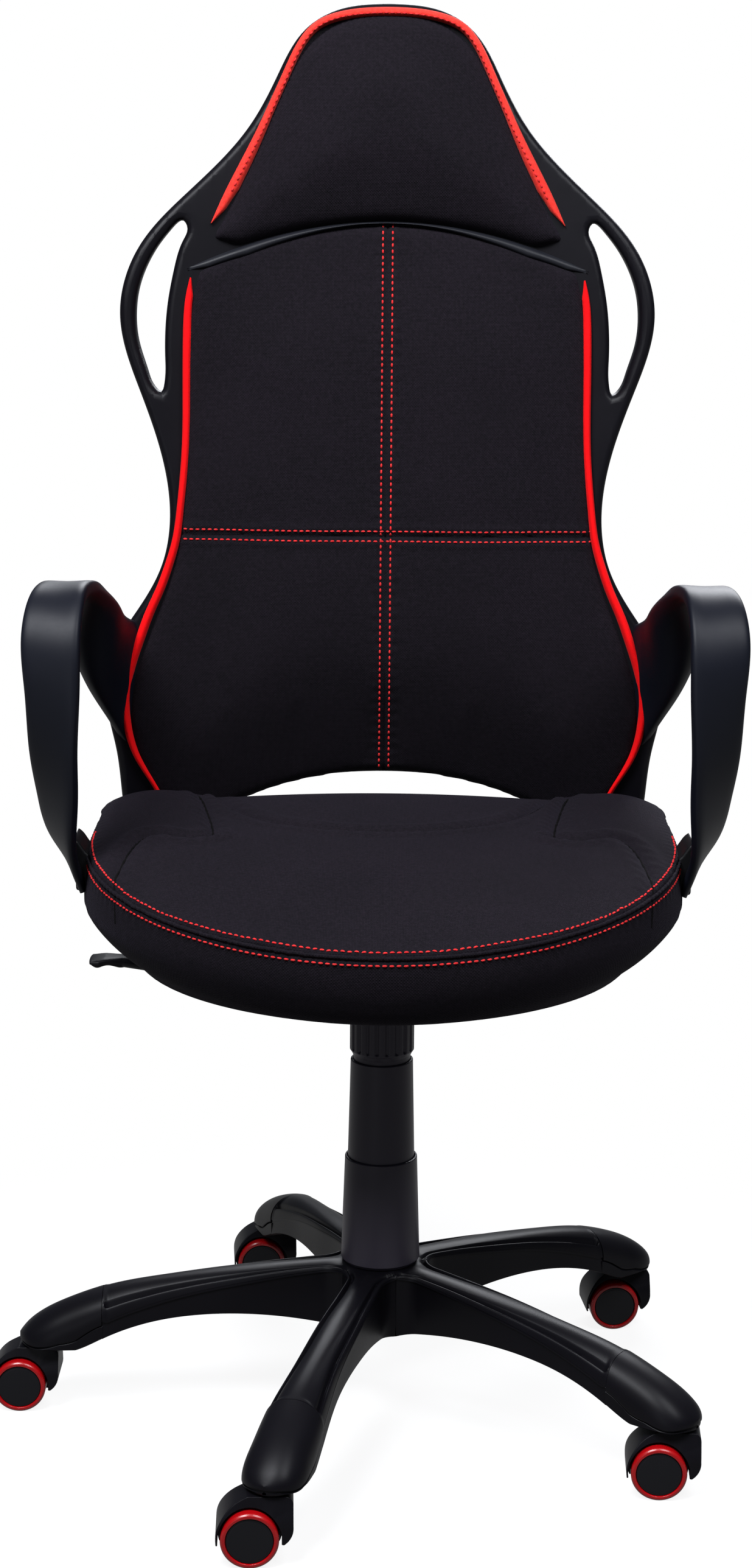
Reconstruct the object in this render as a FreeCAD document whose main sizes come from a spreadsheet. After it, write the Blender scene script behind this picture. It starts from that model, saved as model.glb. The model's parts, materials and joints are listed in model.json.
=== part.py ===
import FreeCAD, Part
import math
import os
import Sketcher

# A swivel chair with a racing style seat: five-arm base on twin-wheel casters, gas lift with
# telescopic cover, tilting seat, moulded back frame with shoulder loops, and loop armrests.
# Origin on the floor under the column, +Z up, the sitter faces -Y, millimetres.

Vector = FreeCAD.Vector
doc = FreeCAD.newDocument("swivel_chair")

# Driving dimensions

SIZES = [
    ("arm_count", 5, "arms of the base"),
    ("first_arm_angle", 181.6, "direction of the first arm, degrees from +X"),
    ("stem_circle", 324, "radius at which the caster stems stand"),
    ("arm_tip", 343, "radius of the arm tips"),
    ("cap_start", 263, "radius where the end caps start"),
    ("arm_foot", 63.5, "underside of the arm tips"),
    ("hub_radius", 41, "round hub of the base"),
    ("hub_foot", 76, "underside of the hub"),
    ("hub_top", 146, "top of the hub, where the cover sits"),
    ("web_radius", 22, "hollow between two arms at the hub"),
    ("arm_half_width", 18, "half width of an arm near the hub"),
    ("moulding_wall", 3.2, "wall of the moulded base"),
    ("wheel_radius", 25, "tyre radius"),
    ("wheel_trail", 18, "stem to axle"),
    ("wheel_face", 24, "outer face of a wheel from the middle of its caster"),
    ("wheel_side", 4, "inner face of a wheel from the middle of its caster"),
    ("disc_radius", 20.5, "black wheel centre"),
    ("hood_gap", 1.9, "hood to tyre"),
    ("hood_wall", 1.9, "rear blade of the hood"),
    ("hood_half_width", 22, "half width of the hood"),
    ("hood_top", 61, "flat top of the hood"),
    ("hood_reach", 38, "stem wall of the hood from the axle"),
    ("stem_radius", 5.5, "caster stem"),
    ("stem_top", 77, "top of the caster stem"),
    ("axle_radius", 3, "wheel axle"),
    ("running_fit", 0.05, "radial clearance of pins that turn or slide"),
    ("pipe_radius", 25, "stand pipe of the gas lift"),
    ("pipe_foot", 74, "lower end of the stand pipe"),
    ("pipe_foot_radius", 23.4, "stand pipe radius at its lower end"),
    ("pipe_top", 246, "upper end of the stand pipe"),
    ("pipe_bore", 22.5, "inside of the stand pipe"),
    ("bush_length", 40, "guide bush in the stand pipe"),
    ("gas_radius", 14, "gas cylinder"),
    ("gas_foot", 180, "lower end of the gas cylinder"),
    ("gas_top", 408, "upper end of the gas cylinder"),
    ("gas_top_radius", 13, "upper end of the mounting taper"),
    ("gas_bore", 11, "inside of the gas cylinder"),
    ("rod_radius", 5, "piston rod"),
    ("pin_radius", 4, "valve pin"),
    ("pin_top", 413, "top of the valve pin"),
    ("lower_foot_radius", 37.5, "lower cover at the hub"),
    ("lower_top_radius", 34, "lower cover at its top"),
    ("lower_top", 249, "top of the lower cover"),
    ("middle_foot", 234, "lower end of the middle cover"),
    ("middle_foot_radius", 31.7, "middle cover at its foot"),
    ("middle_top_radius", 29.2, "middle cover at its top"),
    ("middle_top", 344, "top of the middle cover"),
    ("cover_wall", 2, "wall of the covers"),
    ("cover_gap", 0.35, "gap between the covers"),
    ("neck_radius", 26.7, "neck of the top cover"),
    ("neck_foot", 335, "lower end of the neck"),
    ("collar_radius", 30, "fluted collar"),
    ("collar_foot", 351, "lower rim of the collar"),
    ("collar_top", 390, "top of the collar"),
    ("flute_count", 20, "flutes round the collar"),
    ("flute_radius", 2.4, "radius of a flute"),
    ("housing_half_width", 48, "half width of the mechanism housing"),
    ("housing_front", 62, "housing in front of the column"),
    ("housing_rear", 70, "housing behind the column"),
    ("housing_floor", 393, "underside of the housing"),
    ("housing_top", 431, "top of the housing at the pivot"),
    ("housing_rear_top", 412, "top of the housing at its rear"),
    ("steel_wall", 3, "pressed steel"),
    ("boss_radius", 20, "taper boss in the housing"),
    ("boss_top", 404, "top of the taper boss"),
    ("tilt_pin_radius", 6, "tilt pivot pin"),
    ("tilt_forward", 30, "tilt pivot in front of the column"),
    ("tilt_height", 417, "tilt pivot above the floor"),
    ("spring_radius", 12.5, "mean radius of the tilt spring"),
    ("spring_wire", 2.6, "wire radius of the tilt spring"),
    ("spring_pitch", 7, "pitch of the tilt spring"),
    ("spring_turns", 4, "turns of the tilt spring"),
    ("plate_top", 442, "top of the seat plate"),
    ("plate_thickness", 4, "seat plate"),
    ("plate_half_width", 92, "half width of the seat plate"),
    ("plate_half_depth", 108, "half depth of the seat plate"),
    ("ear_gap", 0.4, "housing wall to seat plate ear"),
    ("ear_half_depth", 17, "half depth of the pivot ears"),
    ("ear_foot", 405, "lower edge of the pivot ears"),
    ("rocker_pivot", 36, "rocker pin beside the column axis"),
    ("rocker_height", 416, "rocker pin above the floor"),
    ("lever_radius", 4, "lever rod"),
    ("paddle_reach", 282, "outer end of the lever paddle"),
    ("paddle_inner", 238, "inner end of the lever paddle"),
    ("paddle_back", 90, "lever paddle behind the column axis"),
    ("paddle_height", 411.5, "lever paddle above the floor"),
    ("board_thickness", 12, "plywood seat board"),
    ("board_half_width", 198, "half width of the seat board"),
    ("board_front", 168, "seat board in front of the column"),
    ("board_rear", 166, "seat board behind the column"),
    ("seat_radius", 274, "round front of the cushion"),
    ("seat_centre", 26, "centre of the round front behind the column"),
    ("seat_rear", 212, "rear edge of the cushion"),
    ("seat_corner", 66, "rear corners of the cushion"),
    ("seat_foot", 442, "underside of the cushion"),
    ("lumbar_height", 700, "most forward height of the back"),
    ("lumbar_depth", 220, "back frame face behind the column at that height"),
    ("back_slope", 0.19, "lean of the back"),
    ("lumbar_bend", 150, "length over which the back bends"),
    ("wing_curl", 18, "how far the sides of the back come forward"),
    ("wing_width", 250, "half width at which the curl is measured"),
    ("back_top", 1320, "top of the back frame"),
    ("back_foot", 447, "lower end of the back frame legs"),
    ("frame_depth", 26, "depth of the back frame"),
    ("ledge_depth", 10, "recess in which the pads sit"),
    ("pad_crown", 30, "crown of the back pad"),
    ("head_crown", 34, "crown of the headrest pad"),
]

sheet = doc.addObject("Spreadsheet::Sheet", "Sizes")
size = {}
for row, (alias, number, note) in enumerate(SIZES, start=1):
    sheet.set("A%d" % row, alias)
    sheet.set("B%d" % row, str(number))
    sheet.set("C%d" % row, note)
    sheet.setAlias("B%d" % row, alias)
    size[alias] = float(number)
doc.recompute()


def product(text):
    """The value of factors joined by *, each a number or an alias."""
    result = 1.0
    for factor in text.split("*"):
        result *= size[factor] if factor in size else float(factor)
    return result


def value(text):
    """The value of terms joined by ' + ' and ' - '."""
    total = 0.0
    sign = 1.0
    for word in str(text).split():
        if word in "+-":
            sign = 1.0 if word == "+" else -1.0
        else:
            total += sign * product(word)
            sign = 1.0
    return total


def bound(text):
    """The same terms as an expression on the spreadsheet."""
    words = []
    for word in str(text).split():
        factors = ["Sizes." + f if f in size else f for f in word.split("*")]
        words.append(word if word in "+-" else "*".join(factors))
    return " ".join(words)


# Helpers for bodies, sketches and solids

parts = []


def keep(thing):
    """Adds a finished object to the sub-parts that are written out."""
    parts.append(thing)
    return thing


def new_body(name):
    body = doc.addObject("PartDesign::Body", name)
    body.Label = name
    return body


def origin_plane(body, role):
    return [f for f in body.Origin.OriginFeatures if f.Role == role][0]


def polygon_sketch(body, role, points, name):
    """A closed outline whose corners are bound to the spreadsheet."""
    sketch = body.newObject("Sketcher::SketchObject", name)
    sketch.AttachmentSupport = (origin_plane(body, role), [""])
    sketch.MapMode = "FlatFace"
    corners = [Vector(value(x), value(y), 0) for x, y in points]
    count = len(corners)
    for i in range(count):
        sketch.addGeometry(Part.LineSegment(corners[i], corners[(i + 1) % count]))
    for i in range(count):
        sketch.addConstraint(Sketcher.Constraint("Coincident", i, 2, (i + 1) % count, 1))
    for i, (x, y) in enumerate(points):
        for kind, axis, text in (("DistanceX", -2, x), ("DistanceY", -1, y)):
            if abs(value(text)) < 1e-9:
                sketch.addConstraint(Sketcher.Constraint("PointOnObject", i, 1, axis))
                continue
            place = sketch.addConstraint(Sketcher.Constraint(kind, -1, 1, i, 1, value(text)))
            sketch.setExpression("Constraints[%d]" % place, bound(text))
    return sketch


def circle_sketch(body, role, circles, name):
    """Circles given as x, y and radius, each bound to the spreadsheet."""
    sketch = body.newObject("Sketcher::SketchObject", name)
    sketch.AttachmentSupport = (origin_plane(body, role), [""])
    sketch.MapMode = "FlatFace"
    for i, (x, y, radius) in enumerate(circles):
        centre = Vector(value(x), value(y), 0)
        sketch.addGeometry(Part.Circle(centre, Vector(0, 0, 1), value(radius)))
        place = sketch.addConstraint(Sketcher.Constraint("Radius", i, value(radius)))
        sketch.setExpression("Constraints[%d]" % place, bound(radius))
        for kind, axis, text in (("DistanceX", -2, x), ("DistanceY", -1, y)):
            if abs(value(text)) < 1e-9:
                sketch.addConstraint(Sketcher.Constraint("PointOnObject", i, 3, axis))
                continue
            place = sketch.addConstraint(Sketcher.Constraint(kind, -1, 1, i, 3, value(text)))
            sketch.setExpression("Constraints[%d]" % place, bound(text))
    return sketch


def revolve(body, sketch):
    feature = body.newObject("PartDesign::Revolution", sketch.Name + "_turned")
    feature.Profile = sketch
    feature.ReferenceAxis = (sketch, ["V_Axis"])
    feature.Angle = 360
    sketch.Visibility = False
    doc.recompute()
    return feature


def pad(body, sketch, length, midplane=False, reverse=False):
    feature = body.newObject("PartDesign::Pad", sketch.Name + "_pad")
    feature.Profile = sketch
    feature.Length = value(length)
    feature.setExpression("Length", bound(length))
    feature.Midplane = midplane
    feature.Reversed = reverse
    doc.recompute()
    return feature


def pocket(body, sketch, length, midplane=False, reverse=False):
    """A cut, which has to take something away."""
    before = body.Shape.Volume
    feature = body.newObject("PartDesign::Pocket", sketch.Name + "_pocket")
    feature.Profile = sketch
    feature.Length = value(length)
    feature.setExpression("Length", bound(length))
    feature.Midplane = midplane
    feature.Reversed = reverse
    doc.recompute()
    if body.Shape.Volume > before - 1e-3:
        raise RuntimeError(sketch.Name + " cuts nothing")
    return feature


def turned(name, points):
    """A body of revolution about the column, its profile given as radius and height."""
    body = new_body(name)
    revolve(body, polygon_sketch(body, "XZ_Plane", points, name + "_profile"))
    return body


def shaped(name, shape, placement=None):
    """A sub-part whose shape comes from solids, for forms that no sketch feature makes."""
    solid = doc.addObject("Part::Feature", name)
    solid.Label = name
    solid.Shape = shape
    if placement is not None:
        solid.Placement = placement
    return solid


def spline(points, closed=False):
    curve = Part.BSplineCurve()
    curve.interpolate([Vector(*p) for p in points], PeriodicFlag=closed)
    return curve.toShape()


def line(start, end):
    return Part.makeLine(Vector(*start), Vector(*end))


def arc(start, middle, end):
    return Part.Arc(Vector(*start), Vector(*middle), Vector(*end)).toShape()


def polyline(points):
    corners = [Vector(*p) for p in points]
    return Part.makePolygon(corners + corners[:1])


def prism(wire, direction):
    return Part.Face(wire).extrude(Vector(*direction))


def cylinder(radius, length, start, direction):
    return Part.makeCylinder(radius, length, Vector(*start), Vector(*direction))


def mirrored(shape):
    return shape.mirror(Vector(0, 0, 0), Vector(1, 0, 0))


# Base: hub, five hollow arms with ribs, webs between them, and sockets for the casters

def arm_plan(inset):
    """Outline of an arm seen from above: slim at the hub, a shoe shape at its end."""
    wide = value("arm_half_width") - inset
    tip = value("arm_tip") - inset
    side = [
        (20, wide), (75, wide), (130, wide + 2), (205, wide + 4), (262, wide + 8.5),
        (300, wide + 10), (325 - 0.4 * inset, wide + 7.5), (339 - 0.8 * inset, wide - 4),
    ]
    right = [(r, -w, 0) for r, w in side]
    left = [(r, w, 0) for r, w in reversed(side)]
    curve = spline(right + [(tip, 0, 0)] + left)
    return Part.Wire([curve, line(left[-1], right[0])])


def arm_side(drop):
    """Outline of an arm seen from the side: a falling back and an arched belly."""
    foot = value("arm_foot")
    tip = value("arm_tip") - drop
    back = [(20, 146), (90, 141), (150, 135), (205, 127.5), (255, 118), (295, 104.5), (325, 88)]
    belly = [(288, foot), (262, 75), (225, 88), (180, 95.5), (135, 97), (90, 93), (20, 80)]
    top = [(r, 0, z - drop) for r, z in back] + [(tip, 0, foot + 3.5)]
    low = [(r, 0, z) for r, z in belly]
    toe = line(top[-1], (tip, 0, foot))
    return Part.Wire([spline(top), toe, line((tip, 0, foot), low[0]), spline(low), line(low[-1], top[0])])


def arm_body(inset, drop):
    plan = Part.Face(arm_plan(inset)).extrude(Vector(0, 0, 200))
    side = Part.Face(arm_side(drop)).extrude(Vector(0, 80, 0))
    side.translate(Vector(0, -40, 0))
    return plan.common(side)


def between_radii(inner, outer):
    block = Part.makeBox(outer - inner, 80, 200, Vector(inner, -40, 0))
    return block


def base_arm_and_cap():
    wall = value("moulding_wall")
    whole = arm_body(0, 0)
    core = arm_body(wall, wall)
    cap_start = value("cap_start")
    cap = whole.common(between_radii(cap_start, 400)).cut(core)
    arm = whole.cut(cap)
    # hollow underside between cross ribs
    rib = 2.6
    stations = [52, 112, 172, 230, 284]
    hollow = arm_body(2 * wall, 1.6 * wall).fuse(arm_body(2 * wall, 1.6 * wall).translated(Vector(0, 0, -30)))
    for inner, outer in zip(stations, stations[1:]):
        arm = arm.cut(hollow.common(between_radii(inner + rib, outer)))
    # bore for the caster stem
    bore = value("stem_radius + running_fit")
    socket = cylinder(bore, 40, (value("stem_circle"), 0, value("stem_top") + 0.4 - 40), (0, 0, 1))
    return arm.cut(socket), cap.cut(socket)


def web_between_arms():
    """The wall that sweeps from one arm into the next, with a round hollow."""
    half = math.radians(180 / value("arm_count"))
    wide = value("arm_half_width")
    radius = value("web_radius")
    centre = (wide + radius) / math.sin(half)
    along = (wide + radius) / math.tan(half)
    first = (along, wide, 0)
    second_x = along * math.cos(2 * half) + wide * math.sin(2 * half)
    second_y = along * math.sin(2 * half) - wide * math.cos(2 * half)
    deepest = centre - radius
    middle = (deepest * math.cos(half), deepest * math.sin(half), 0)
    outline = Part.Wire([
        line((0, 0, 0), first),
        arc(first, middle, (second_x, second_y, 0)),
        line((second_x, second_y, 0), (0, 0, 0)),
    ])
    web = prism(outline, (0, 0, value("hub_top") - 3 - 87))
    web.translate(Vector(0, 0, 87))
    return web


def base_star():
    arm, cap = base_arm_and_cap()
    web = web_between_arms()
    hub = cylinder(value("hub_radius"), value("hub_top - hub_foot"), (0, 0, value("hub_foot")), (0, 0, 1))
    pieces = []
    caps = []
    step = 360 / value("arm_count")
    for i in range(int(value("arm_count"))):
        angle = value("first_arm_angle") + i * step
        for shape, group in ((arm, pieces), (web, pieces), (cap, caps)):
            copy = shape.copy()
            copy.rotate(Vector(0, 0, 0), Vector(0, 0, 1), angle)
            group.append(copy)
    star = hub.multiFuse(pieces)
    bore = Part.makeCone(
        value("pipe_foot_radius"), value("pipe_radius"), value("hub_top - pipe_foot"),
        Vector(0, 0, value("pipe_foot")),
    )
    below = cylinder(value("pipe_foot_radius"), 20, (0, 0, value("pipe_foot") - 20), (0, 0, 1))
    keep(shaped("base_star", star.cut(bore.fuse(below)).removeSplitter()))
    keep(shaped("arm_end_caps", Part.makeCompound(caps)))


base_star()

# Gas lift: stand pipe with its guide bush, bearing, rod, gas cylinder and valve pin

stand_pipe = keep(turned("stand_pipe", [
    ("rod_radius + 0.3", "pipe_foot"), ("pipe_foot_radius", "pipe_foot"), ("pipe_radius", "hub_top"),
    ("pipe_radius", "pipe_top"), ("pipe_bore", "pipe_top"), ("pipe_bore", "hub_top"),
    ("pipe_foot_radius - 2", "pipe_foot + 4"), ("rod_radius + 0.3", "pipe_foot + 4"),
]))
guide_bush = keep(turned("guide_bush", [
    ("gas_radius + running_fit", "pipe_top - bush_length"), ("pipe_bore", "pipe_top - bush_length"),
    ("pipe_bore", "pipe_top"), ("gas_radius + running_fit", "pipe_top"),
]))
thrust_bearing = keep(turned("thrust_bearing", [
    ("rod_radius + 0.3", "pipe_foot + 4"), ("14", "pipe_foot + 4"),
    ("14", "pipe_foot + 10"), ("rod_radius + 0.3", "pipe_foot + 10"),
]))
piston_rod = keep(turned("piston_rod", [
    ("0", "pipe_foot - 6"), ("8", "pipe_foot - 6"), ("8", "pipe_foot - 2"), ("rod_radius", "pipe_foot - 2"),
    ("rod_radius", "pipe_foot + 10.1"), ("9", "pipe_foot + 10.1"), ("9", "pipe_foot + 14"),
    ("rod_radius", "pipe_foot + 14"), ("rod_radius", "gas_foot + 10"),
    ("gas_bore - 0.1", "gas_foot + 10"), ("gas_bore - 0.1", "gas_foot + 22"), ("0", "gas_foot + 22"),
]))
gas_cylinder = keep(turned("gas_cylinder", [
    ("rod_radius + running_fit", "gas_foot"), ("gas_radius - 1", "gas_foot"),
    ("gas_radius", "gas_foot + 1"), ("gas_radius", "gas_top - 26"),
    ("gas_top_radius", "gas_top"), ("pin_radius + running_fit", "gas_top"),
    ("pin_radius + running_fit", "gas_top - 10"), ("gas_bore", "gas_top - 10"),
    ("gas_bore", "gas_foot + 6"), ("rod_radius + running_fit", "gas_foot + 6"),
]))
valve_pin = keep(turned("valve_pin", [
    ("0", "gas_top - 14"), ("pin_radius + 2", "gas_top - 14"), ("pin_radius + 2", "gas_top - 10.4"),
    ("pin_radius", "gas_top - 10.4"), ("pin_radius", "pin_top - 0.8"),
    ("pin_radius - 0.8", "pin_top"), ("0", "pin_top"),
]))

# Telescopic cover round the lift, in three lengths that hang into each other

lower_sleeve = keep(turned("lower_sleeve", [
    ("lower_foot_radius - cover_wall", "hub_top"), ("lower_foot_radius - 1", "hub_top"),
    ("lower_foot_radius", "hub_top + 1.5"), ("lower_top_radius", "lower_top - 0.8"),
    ("lower_top_radius - 0.8", "lower_top"), ("middle_foot_radius + cover_gap", "lower_top"),
    ("middle_foot_radius + cover_gap", "lower_top - 8"),
    ("lower_foot_radius - cover_wall", "hub_top + 8"),
]))
middle_sleeve = keep(turned("middle_sleeve", [
    ("middle_foot_radius - cover_wall", "middle_foot"), ("middle_foot_radius", "middle_foot"),
    ("middle_top_radius", "middle_top - 0.8"), ("middle_top_radius - 0.8", "middle_top"),
    ("neck_radius + cover_gap", "middle_top"), ("neck_radius + cover_gap", "middle_top - 8"),
    ("middle_foot_radius - cover_wall", "middle_foot + 4"),
]))


def top_sleeve():
    body = turned("top_sleeve", [
        ("neck_radius - 1.6", "neck_foot"), ("neck_radius", "neck_foot"),
        ("neck_radius", "collar_foot - 4"), ("collar_radius - 1.5", "collar_foot"),
        ("collar_radius", "collar_foot + 2"), ("collar_radius", "collar_top"),
        ("gas_radius + 0.3", "collar_top"), ("gas_radius + 0.3", "collar_top - 2"),
        ("neck_radius - 1.6", "collar_top - 2"),
    ])
    groove = circle_sketch(body, "XY_Plane", [("collar_radius + 1.2", "0", "flute_radius")], "flute")
    groove.AttachmentOffset = FreeCAD.Placement(Vector(0, 0, value("collar_foot + 2.5")), FreeCAD.Rotation())
    doc.recompute()
    flute = pocket(body, groove, "collar_top - collar_foot", reverse=True)
    ring = body.newObject("PartDesign::PolarPattern", "flutes")
    ring.Originals = [flute]
    ring.Axis = (groove, ["N_Axis"])
    ring.Angle = 360
    ring.Occurrences = int(value("flute_count"))
    body.Tip = ring
    doc.recompute()
    return body


keep(top_sleeve())

# Tilt mechanism: pressed housing on the gas cylinder, pivot pin, spring and seat plate


def mechanism_housing():
    wide = "2*housing_half_width"
    body = new_body("housing_blank")
    side = polygon_sketch(body, "YZ_Plane", [
        ("0 - housing_front", "housing_floor + 10"), ("0 - housing_front + 10", "housing_floor"),
        ("housing_rear - 10", "housing_floor"), ("housing_rear", "housing_floor + 6"),
        ("housing_rear", "housing_rear_top"), ("0 - tilt_forward + 12", "housing_top"),
        ("0 - housing_front", "housing_top"),
    ], "housing_side")
    pad(body, side, wide, midplane=True)
    inside = polygon_sketch(body, "YZ_Plane", [
        ("0 - housing_front + steel_wall", "housing_floor + 11"),
        ("0 - housing_front + 11", "housing_floor + steel_wall"),
        ("housing_rear - 11", "housing_floor + steel_wall"),
        ("housing_rear - steel_wall", "housing_floor + 8"),
        ("housing_rear - steel_wall", "housing_top + 20"),
        ("0 - housing_front + steel_wall", "housing_top + 20"),
    ], "housing_inside")
    pocket(body, inside, "2*housing_half_width - 2*steel_wall", midplane=True)
    boss = circle_sketch(body, "XY_Plane", [("0", "0", "boss_radius")], "taper_boss")
    boss.AttachmentOffset = FreeCAD.Placement(Vector(0, 0, value("housing_floor")), FreeCAD.Rotation())
    doc.recompute()
    pad(body, boss, "boss_top - housing_floor")
    ears = polygon_sketch(body, "XZ_Plane", [
        ("0 - rocker_pivot - 7", "housing_floor + 1"), ("0 - rocker_pivot + 7", "housing_floor + 1"),
        ("0 - rocker_pivot + 5", "rocker_height + 5"), ("0 - rocker_pivot - 5", "rocker_height + 5"),
    ], "rocker_ears")
    pad(body, ears, "21", midplane=True)
    slot = polygon_sketch(body, "XZ_Plane", [
        ("0 - rocker_pivot - 7.5", "boss_top"), ("0 - rocker_pivot + 7.5", "boss_top"),
        ("0 - rocker_pivot + 7.5", "housing_top"), ("0 - rocker_pivot - 7.5", "housing_top"),
    ], "rocker_slot")
    pocket(body, slot, "14.8", midplane=True)
    for name, role, circle, depth in (
        ("tilt_pin_hole", "YZ_Plane", ("0 - tilt_forward", "tilt_height", "tilt_pin_radius"), "120"),
        ("rocker_pin_hole", "XZ_Plane", ("0 - rocker_pivot", "rocker_height", "3 + running_fit"), "30"),
    ):
        hole = circle_sketch(body, role, [circle], name)
        pocket(body, hole, depth, midplane=True)
    window = polygon_sketch(body, "YZ_Plane", [
        ("0 - 8", "boss_top"), ("8", "boss_top"), ("8", "housing_top"), ("0 - 8", "housing_top"),
    ], "lever_window")
    pocket(body, window, "housing_half_width + 5")
    shape = body.Shape
    taper = Part.makeCone(
        value("gas_radius"), value("gas_top_radius"), 26, Vector(0, 0, value("gas_top") - 26)
    )
    through = cylinder(value("gas_radius"), 20, (0, 0, value("gas_top") - 46), (0, 0, 1))
    return shaped("mechanism_housing", shape.cut(taper.fuse(through)))


keep(mechanism_housing())


def tilt_pin():
    body = new_body("tilt_pin")
    section = circle_sketch(
        body, "YZ_Plane", [("0 - tilt_forward", "tilt_height", "tilt_pin_radius")], "tilt_pin_section"
    )
    pad(body, section, "2*housing_half_width + 12", midplane=True)
    return body


keep(tilt_pin())


def tilt_spring():
    """A torsion spring coiled round the pivot pin, one leg under the seat plate."""
    radius = value("spring_radius")
    wire = value("spring_wire")
    pitch = value("spring_pitch")
    turns = int(value("spring_turns"))
    centre = Vector(4, -value("tilt_forward"), value("tilt_height"))
    helix = Part.makeHelix(pitch, pitch * turns, radius)
    section = Part.Wire(Part.makeCircle(wire, Vector(radius, 0, 0), Vector(0, 1, 0)))
    coil = Part.Wire(helix.Edges).makePipeShell([section], True, False)
    coil.rotate(Vector(0, 0, 0), Vector(0, 1, 0), 90)
    coil.translate(centre)
    return shaped("tilt_spring", coil)


keep(tilt_spring())


def seat_plate():
    body = new_body("seat_plate")
    flat = polygon_sketch(body, "XY_Plane", [
        ("0 - plate_half_width + 14", "0 - plate_half_depth"),
        ("plate_half_width - 14", "0 - plate_half_depth"),
        ("plate_half_width", "0 - plate_half_depth + 14"), ("plate_half_width", "plate_half_depth - 14"),
        ("plate_half_width - 14", "plate_half_depth"), ("0 - plate_half_width + 14", "plate_half_depth"),
        ("0 - plate_half_width", "plate_half_depth - 14"),
        ("0 - plate_half_width", "0 - plate_half_depth + 14"),
    ], "plate_outline")
    flat.AttachmentOffset = FreeCAD.Placement(
        Vector(0, 0, value("plate_top - plate_thickness")), FreeCAD.Rotation()
    )
    doc.recompute()
    pad(body, flat, "plate_thickness")
    ear = polygon_sketch(body, "YZ_Plane", [
        ("0 - tilt_forward - ear_half_depth", "plate_top - 1"), ("0 - tilt_forward - 9", "ear_foot"),
        ("0 - tilt_forward + 9", "ear_foot"), ("0 - tilt_forward + ear_half_depth", "plate_top - 1"),
    ], "ear_outline")
    pad(body, ear, "2*housing_half_width + 2*ear_gap + 6", midplane=True)
    between = polygon_sketch(body, "YZ_Plane", [
        ("0 - tilt_forward - 30", "plate_top - plate_thickness"), ("0 - tilt_forward - 30", "ear_foot - 5"),
        ("0 - tilt_forward + 30", "ear_foot - 5"), ("0 - tilt_forward + 30", "plate_top - plate_thickness"),
    ], "between_ears")
    pocket(body, between, "2*housing_half_width + 2*ear_gap", midplane=True)
    hole = circle_sketch(
        body, "YZ_Plane", [("0 - tilt_forward", "tilt_height", "tilt_pin_radius + running_fit")], "ear_hole"
    )
    pocket(body, hole, "130", midplane=True)
    return body


keep(seat_plate())

# Lever: a rocker over the valve pin, a cranked rod that pulls out, and its paddle


def lever_rocker():
    body = new_body("lever_rocker")
    side = polygon_sketch(body, "XZ_Plane", [
        ("0 - rocker_pivot - 7", "rocker_height - 6"), ("0 - rocker_pivot + 20", "rocker_height - 6"),
        ("0 - rocker_pivot + 21", "pin_top + 0.4"), ("3", "pin_top + 0.4"), ("3", "pin_top + 6.5"),
        ("0 - rocker_pivot + 20", "pin_top + 8.5"), ("0 - rocker_pivot - 7", "rocker_height + 6"),
    ], "rocker_side")
    pad(body, side, "14", midplane=True)
    trunnion = circle_sketch(body, "XZ_Plane", [("0 - rocker_pivot", "rocker_height", "3")], "trunnion")
    pad(body, trunnion, "20.6", midplane=True)
    place = [("0", "rocker_height", "lever_radius + running_fit")]
    bore = circle_sketch(body, "YZ_Plane", place, "rod_bore")
    reach = value("0 - rocker_pivot + 16")
    bore.AttachmentOffset = FreeCAD.Placement(Vector(0, 0, reach), FreeCAD.Rotation())
    doc.recompute()
    pocket(body, bore, "40")
    return body


keep(lever_rocker())


def lever_rod():
    """A straight run out of the rocker, a bend, and a run that slants back to the paddle."""
    height = value("rocker_height")
    radius = value("lever_radius")
    start = Vector(value("0 - rocker_pivot + 14"), 0, height)
    corner = Vector(-118, 0, height)
    end = Vector(-value("paddle_inner") - 22, value("paddle_back"), value("paddle_height") - 1)
    inward = (start - corner).normalize()
    outward = (end - corner).normalize()
    reach = 22
    first = corner + inward * reach
    last = corner + outward * reach
    turn = inward.getAngle(outward)
    bend = reach * math.tan(turn / 2)
    bisector = (inward + outward).normalize()
    middle = corner + bisector * (bend / math.sin(turn / 2) - bend)
    path = Part.Wire([
        Part.makeLine(start, first),
        Part.Arc(first, middle, last).toShape(),
        Part.makeLine(last, end),
    ])
    section = Part.Wire(Part.makeCircle(radius, start, Vector(1, 0, 0)))
    return shaped("lever_rod", path.makePipeShell([section], True, False))


rod = keep(lever_rod())


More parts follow.
